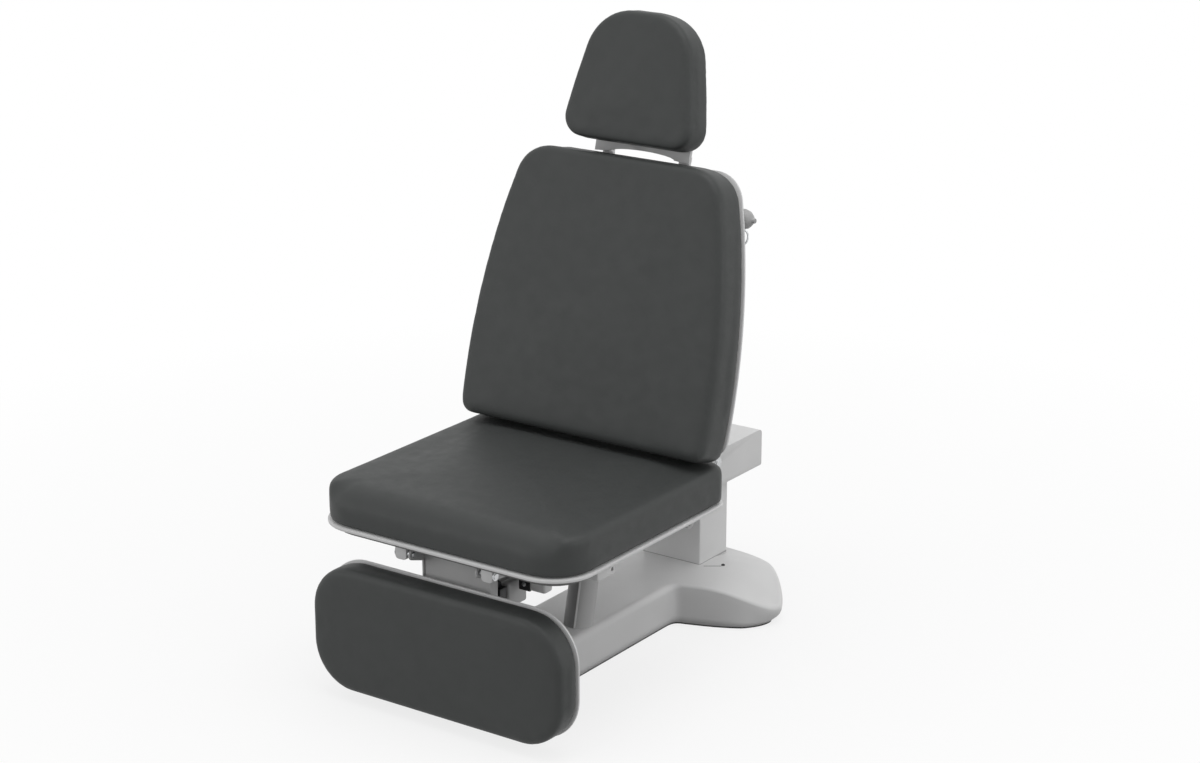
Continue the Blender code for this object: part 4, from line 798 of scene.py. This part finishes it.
def block(mesh, low, high, width, segments=3):
    """A box with rounded edges."""
    low = Vector(low)
    high = Vector(high)
    part = bmesh.new()
    size = Matrix.Diagonal((*(high - low), 1))
    bmesh.ops.create_cube(part, size=1, matrix=Matrix.Translation((low + high) / 2) @ size)
    soften(part, width, segments)
    data = bpy.data.meshes.new("block")
    part.to_mesh(data)
    part.free()
    mesh.from_mesh(data)
    bpy.data.meshes.remove(data)


def sweep(name, sections, slot, body, look=None):
    """A closed bar through sections, each a ring of points."""
    mesh = bmesh.new()
    levels = [[mesh.verts.new(point) for point in section] for section in sections]
    skin(mesh, levels)
    mesh.faces.new(levels[0])
    mesh.faces.new(levels[-1])
    return piece(name, mesh, slot, body, 35.0, look)


# Screws in the back shell, the headrest, the leg tray and the base cover
GUIDE_WALL = 0.0030
POST_DEEP = 0.0080
SHELL_BACK = BACK_T + GAP + SHELL_T
shell_spots = [(0.0, 0.055), (0.130, 0.055), (0.245, 0.110), (0.245, 0.290), (0.165, 0.548)]
screws(
    "shell_screws",
    [on_back(side * u, SHELL_BACK, up) for u, up in shell_spots for side in ((1, -1) if u else (1,))],
    BACK_IN, radius=0.0055, slot="steel", body="back",
)
plate_back = HEAD_BACK + GAP + SHELL_T
screws(
    "head_plate_screws",
    [on_back(u, plate_back, HEAD_UP + up) for u in (0.056, -0.056) for up in (0.075, 0.200)],
    BACK_IN, radius=0.0048, slot="steel", body="head",
)
guide_low, guide_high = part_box("headrest_guide_right")
guide_mid = (guide_low[0] + guide_high[0]) / 2
guide_back = SHELL_BACK + GAP + 2 * GUIDE_WALL + 2 * SLIP + POST_DEEP
screws(
    "guide_screws",
    [on_back(side * guide_mid, guide_back, up) for side in (1, -1) for up in (0.392, 0.558)],
    BACK_IN, radius=0.0040, slot="steel", body="back",
)
leg_back = leg_tray_high[1]
screws(
    "leg_tray_screws",
    [(u, leg_back, v) for u in (0.205, -0.205) for v in (leg_low[2] + 0.075, leg_high[2] - 0.075)],
    (0, 1, 0), radius=0.0050, slot="steel", body="leg_rest",
)
column_low, column_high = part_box("pedestal_cover")
SCREW_ACROSS = 0.043
SCREW_BEHIND = 0.027
SCREW_SUNK = 0.0004
cover_screw = Vector((column_high[0] + SCREW_ACROSS, column_low[1] + SCREW_BEHIND))
screws(
    "cover_screws",
    [(side * cover_screw.x, cover_screw.y, cover_high[2] - SCREW_SUNK) for side in (1, -1)],
    (0, 0, 1), radius=0.0042, slot="black_plastic", body="base",
)

# Rings on the pins
CLIP_OUT = 0.0012
LARGE_CLIP = (0.0079, 0.0125)
HINGE_CLIP = (0.0059, 0.0095)
TILT_CLIP = (0.0044, 0.0072)
arm_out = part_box("lift_arm")[1][0] + CLIP_OUT
hinge_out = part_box("seat_rail_right")[1][0] + CLIP_OUT
knuckle_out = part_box("tilt_pin")[1][0] - CLIP_OUT


def axis_of(node):
    """Where a cross pin's axis lies, as (y, z)."""
    low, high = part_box(node)
    return (low[1] + high[1]) / 2, (low[2] + high[2]) / 2


def on_both(out, node):
    """Places on a cross pin's axis, to the right and to the left."""
    return [(side * out, *axis_of(node)) for side in (1, -1)]


clips("arm_pin_rings", on_both(arm_out, "arm_pin"), *LARGE_CLIP, "steel", "base")
clips("fork_pin_rings", on_both(arm_out, "fork_pin"), *LARGE_CLIP, "steel", "lift_arm")
clips("push_pin_ring", [(arm_out, *axis_of("push_pin"))], *LARGE_CLIP, "steel", "lift_arm")
clips("leg_hinge_rings", on_both(hinge_out, "leg_hinge_pin_right"), *HINGE_CLIP, "steel", "seat")
clips("tilt_pin_rings", on_both(knuckle_out, "tilt_pin"), *TILT_CLIP, "steel", "headrest_slide")

# Painted shadow: dark bands round the column's foot and under the base cover, standing in for the shadow
# lines there
COLUMN_R = 0.0045
BAND_IN = 0.0005
BAND_OUT = 0.0010
BAND_DEEP = 0.002
BAND_EDGE = 0.0004
BAND_TOP = 0.0012
column_mid = Vector(((column_low[0] + column_high[0]) / 2, (column_low[1] + column_high[1]) / 2))
column_half = Vector((column_high[0], (column_high[1] - column_low[1]) / 2))


def column_loop(grow):
    across = column_half.x + grow
    deep = column_half.y + grow
    corners = [(across, -deep), (across, deep), (-across, deep), (-across, -deep)]
    return [point + column_mid for point in rounded([(u, v, COLUMN_R + grow) for u, v in corners], 6)]


band_in = column_loop(-BAND_IN)
band_out = column_loop(BAND_OUT)
band_low = cover_high[2] - BAND_DEEP
# painted shadow: a grey band round the column's foot that stands in for the shadow line where the column
# meets the cover
collar(
    "column_painted_shadow", [band_in, band_out, band_out, band_in],
    [band_low, band_low, cover_high[2] + BAND_EDGE, cover_high[2] + BAND_TOP], "grey_plastic", "base",
)


def foot_loop(into):
    """The cover's foot in plan, moved inwards."""
    plan = cover_outline()
    half = []
    for index, (point, shoulder, tuck) in enumerate(plan):
        half.append(point - outward_at(plan, index) * (tuck + into))
    return half + [Vector((-p.x, p.y)) for p in reversed(half[1:-1])]


FOOT_IN = (0.0010, 0.0060)
FOOT_RISE = 0.0006
FOOT_CLEAR = 0.0001
foot_out, foot_in = [foot_loop(into) for into in FOOT_IN]
foot_top = cover_low[2] - FOOT_CLEAR
# painted shadow: a dark rubber strip round the cover's foot that stands in for the contact shadow at the
# floor
collar(
    "base_painted_contact_shadow", [foot_in, foot_out, foot_out, foot_in], [FOOT_RISE, FOOT_RISE, foot_top, foot_top],
    "rubber", "base",
)

# Seam between the cover's two mouldings, beside the column
SEAM_START = Vector((column_high[0] + 0.0114, column_low[1] - 0.0017))
SEAM_END = Vector((column_high[0] + 0.0434, column_low[1] + 0.0207))
SEAM_HALF = 0.0006
SEAM_DEEP = 0.0006
SEAM_PROUD = 0.0003
SEAM_STEPS = 8


def seam_section(side, share):
    """The seam's four corners at a share of its length, on one side of the cover."""
    place = SEAM_START.lerp(SEAM_END, share)
    across = (SEAM_END - SEAM_START).normalized().orthogonal() * SEAM_HALF
    section = []
    for way, lift in ((1, -SEAM_DEEP), (1, SEAM_PROUD), (-1, SEAM_PROUD), (-1, -SEAM_DEEP)):
        p = place + across * way
        section.append((side * p.x, p.y, cover_height(p.x, p.y) + lift))
    return section


for side, hand in ((1, "right"), (-1, "left")):
    seam = [seam_section(side, step / SEAM_STEPS) for step in range(SEAM_STEPS + 1)]
    sweep(f"cover_seam_{hand}", seam, "rubber", "base")

# Lift barrel: a dark sleeve over its front is painted shade, and a bright strip along the sleeve's edge is a
# painted highlight
barrel_low, barrel_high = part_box("lift_barrel")
barrel_r = (barrel_high[0] - barrel_low[0]) / 2
barrel_x = (barrel_high[0] + barrel_low[0]) / 2
push_y, push_z = axis_of("push_pin")
BARREL_WAY = Vector((0, 0.21776, 0.97600))


def barrel_axis(z):
    """The point of the barrel's leaning axis at a height."""
    return Vector((barrel_x, push_y, push_z)) + BARREL_WAY * ((z - push_z) / BARREL_WAY.z)


def barrel_arc(z, inner, outer, start, end, steps):
    """A ring sector round the barrel's axis at a height."""
    middle = barrel_axis(z)
    turns = [math.radians(start + (end - start) * step / steps) for step in range(steps + 1)]
    out = [middle + outer * Vector((math.cos(t), math.sin(t), 0)) for t in turns]
    back = [middle + inner * Vector((math.cos(t), math.sin(t), 0)) for t in reversed(turns)]
    return out + back


SLEEVE_IN = 0.001
SHADE_OUT = 0.0010
HIGHLIGHT_OUT = 0.0022
SLEEVE_GAP = 0.001
SLEEVE_SHORT = 0.012
SLEEVE_STEPS = 6
SHADE_ARC = (-160, -74, 16)
HIGHLIGHT_ARC = (-74, -68, 4)
sleeve_low = cover_high[2] + SLEEVE_GAP
sleeve_high = barrel_high[2] - SLEEVE_SHORT
sleeve_rise = [sleeve_low + (sleeve_high - sleeve_low) * step / SLEEVE_STEPS for step in range(SLEEVE_STEPS + 1)]
# painted shade: this dark sleeve over the barrel's front stands in for shade, not for a real part
shade_sleeve = [barrel_arc(z, barrel_r - SLEEVE_IN, barrel_r + SHADE_OUT, *SHADE_ARC) for z in sleeve_rise]
sweep("barrel_painted_shade", shade_sleeve, "black_plastic", "base", "painted_shade_guard")
# painted highlight: a light grey strip along the sleeve's edge stands in for a highlight on the barrel
highlight_strip = [barrel_arc(z, barrel_r - SLEEVE_IN, barrel_r + HIGHLIGHT_OUT, *HIGHLIGHT_ARC) for z in sleeve_rise]
sweep("barrel_painted_highlight", highlight_strip, "light_grey_paint", "base")

# Under the seat: a hanger on the right rail that holds a clevis with its pin
HANGER_HALF = 0.014
HANGER_IN = 0.002
HANGER_OUT = 0.014
HANGER_EDGE = 0.006
CLEVIS_BEHIND = 0.209
CLEVIS_DOWN = 0.070
CHEEK_STARTS = (-0.010, 0.004)
CHEEK_T = 0.006
CHEEK_REACH = 0.026
CHEEK_INTO = 0.0015
CHEEK_LOW = 0.004
CHEEK_HIGH = 0.020
CHEEK_EDGE = 0.0015
PIN_IN = 0.012
PIN_AHEAD = 0.0130
PIN_UP = 0.010
rail_low, rail_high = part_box("seat_rail_right")
clevis_y = leg_low[1] + CLEVIS_BEHIND
clevis_z = rail_low[2] - CLEVIS_DOWN
mesh = bmesh.new()
block(
    mesh, (rail_low[0] + HANGER_IN, clevis_y - HANGER_HALF, clevis_z),
    (rail_high[0] + HANGER_OUT, clevis_y + HANGER_HALF, rail_low[2] - GAP), HANGER_EDGE,
)
piece("clevis_hanger", mesh, "light_grey_paint", "seat")
mesh = bmesh.new()
for start in CHEEK_STARTS:
    block(
        mesh, (rail_low[0] - CHEEK_REACH, clevis_y + start, clevis_z - CHEEK_LOW),
        (rail_low[0] + CHEEK_INTO, clevis_y + start + CHEEK_T, clevis_z + CHEEK_HIGH), CHEEK_EDGE, 2,
    )
piece("clevis", mesh, "black_plastic", "seat")
mesh = bmesh.new()
PIN_PROFILE = [
    (0.0030, 0.0), (0.0045, 0.0008), (0.0045, 0.0026), (0.0036, 0.0030), (0.0036, 0.0210), (0.0028, 0.0220),
]
pin_at = (rail_low[0] - PIN_IN, clevis_y - PIN_AHEAD, clevis_z + PIN_UP)
lathe(mesh, PIN_PROFILE, pin_at, (0, 1, 0), 20)
piece("clevis_pin", mesh, "steel", "seat")


# Floor, light and camera
FLOOR_R = 30.0
FLOOR_DOWN = 0.0005
FADE_REACH = (0.7, 2.4)
FADE_LEVEL = (0.78, 1.0)
AMBIENT = 0.65


def floor_material():
    """A pale floor that fades to the white of the backdrop."""
    graph = Graph("studio_floor", (0.90, 0.90, 0.90), 0.9, shine=0.0)
    white = graph.add("ShaderNodeEmission", {"Color": (1, 1, 1, 1), "Strength": 1.0})
    distance = graph.add("ShaderNodeVectorMath", {0: graph.coords}, operation="LENGTH").outputs["Value"]
    fade = graph.span(distance, *FADE_REACH, *FADE_LEVEL)
    path = graph.add("ShaderNodeLightPath")
    seen = graph.math("MAXIMUM", path.outputs["Is Camera Ray"], path.outputs["Is Transmission Ray"])
    seen = graph.math("MAXIMUM", seen, path.outputs["Is Glossy Ray"])
    bounce = graph.mix(graph.noise(3.0), (0.26, 0.26, 0.26, 1), (0.28, 0.28, 0.28, 1))
    graph.set(graph.shader.inputs["Base Color"], graph.mix(seen, bounce, (0.90, 0.90, 0.90, 1)))
    blend = graph.add("ShaderNodeMixShader", {"Fac": graph.math("MULTIPLY", seen, fade)})
    graph.set(blend.inputs[1], graph.shader.outputs["BSDF"])
    graph.set(blend.inputs[2], white.outputs["Emission"])
    graph.set(graph.tree.nodes["Material Output"].inputs["Surface"], blend.outputs["Shader"])
    return graph.material


mesh = bmesh.new()
bmesh.ops.create_circle(mesh, cap_ends=True, segments=96, radius=FLOOR_R)
data = bpy.data.meshes.new("floor")
mesh.to_mesh(data)
mesh.free()
floor = bpy.data.objects.new("floor", data)
floor.location.z = -FLOOR_DOWN
scene.collection.objects.link(floor)
data.materials.append(floor_material())


def studio_world():
    """White where it is seen, softer where it lights the chair."""
    world = bpy.data.worlds.new("studio")
    world.use_nodes = True
    tree = world.node_tree
    path = tree.nodes.new("ShaderNodeLightPath")
    seen = path.outputs["Is Camera Ray"]
    for ray in ("Is Transmission Ray", "Is Glossy Ray"):
        either = tree.nodes.new("ShaderNodeMath")
        either.operation = "MAXIMUM"
        tree.links.new(seen, either.inputs[0])
        tree.links.new(path.outputs[ray], either.inputs[1])
        seen = either.outputs["Value"]
    level = tree.nodes.new("ShaderNodeMapRange")
    level.inputs["To Min"].default_value = AMBIENT
    level.inputs["To Max"].default_value = 1.0
    tree.links.new(seen, level.inputs["Value"])
    ground = tree.nodes["Background"]
    ground.inputs["Color"].default_value = (1, 1, 1, 1)
    tree.links.new(level.outputs["Result"], ground.inputs["Strength"])
    return world


def area(name, place, aim, size, power):
    """A round soft lamp that points at a place."""
    lamp = bpy.data.lights.new(name, "AREA")
    lamp.shape = "DISK"
    lamp.size = size
    lamp.energy = power
    made = bpy.data.objects.new(name, lamp)
    made.location = place
    made.rotation_euler = (Vector(aim) - Vector(place)).to_track_quat("-Z", "Y").to_euler()
    scene.collection.objects.link(made)


scene.world = studio_world()
area("overhead", (0.6, -0.2, 4.2), (0, 0, 0.4), 3.2, 52.0)
area("right_side", (4.2, 0.9, 1.6), (0, 0, 0.4), 2.6, 25.0)
area("front_left", (-2.8, -4.3, 1.7), (0, 0, 0.6), 3.0, 31.0)

CAMERA_AT = (3.063, -4.34075, 2.280)
CAMERA_TURN = (math.radians(72.2), 0, math.radians(35))
camera = bpy.data.cameras.new("camera")
camera.lens = 81.81
camera.sensor_width = 36.0
camera.sensor_fit = "HORIZONTAL"
camera_object = bpy.data.objects.new("camera", camera)
camera_object.location = CAMERA_AT
camera_object.rotation_euler = CAMERA_TURN
scene.collection.objects.link(camera_object)
scene.camera = camera_object
scene.view_settings.view_transform = "Standard"
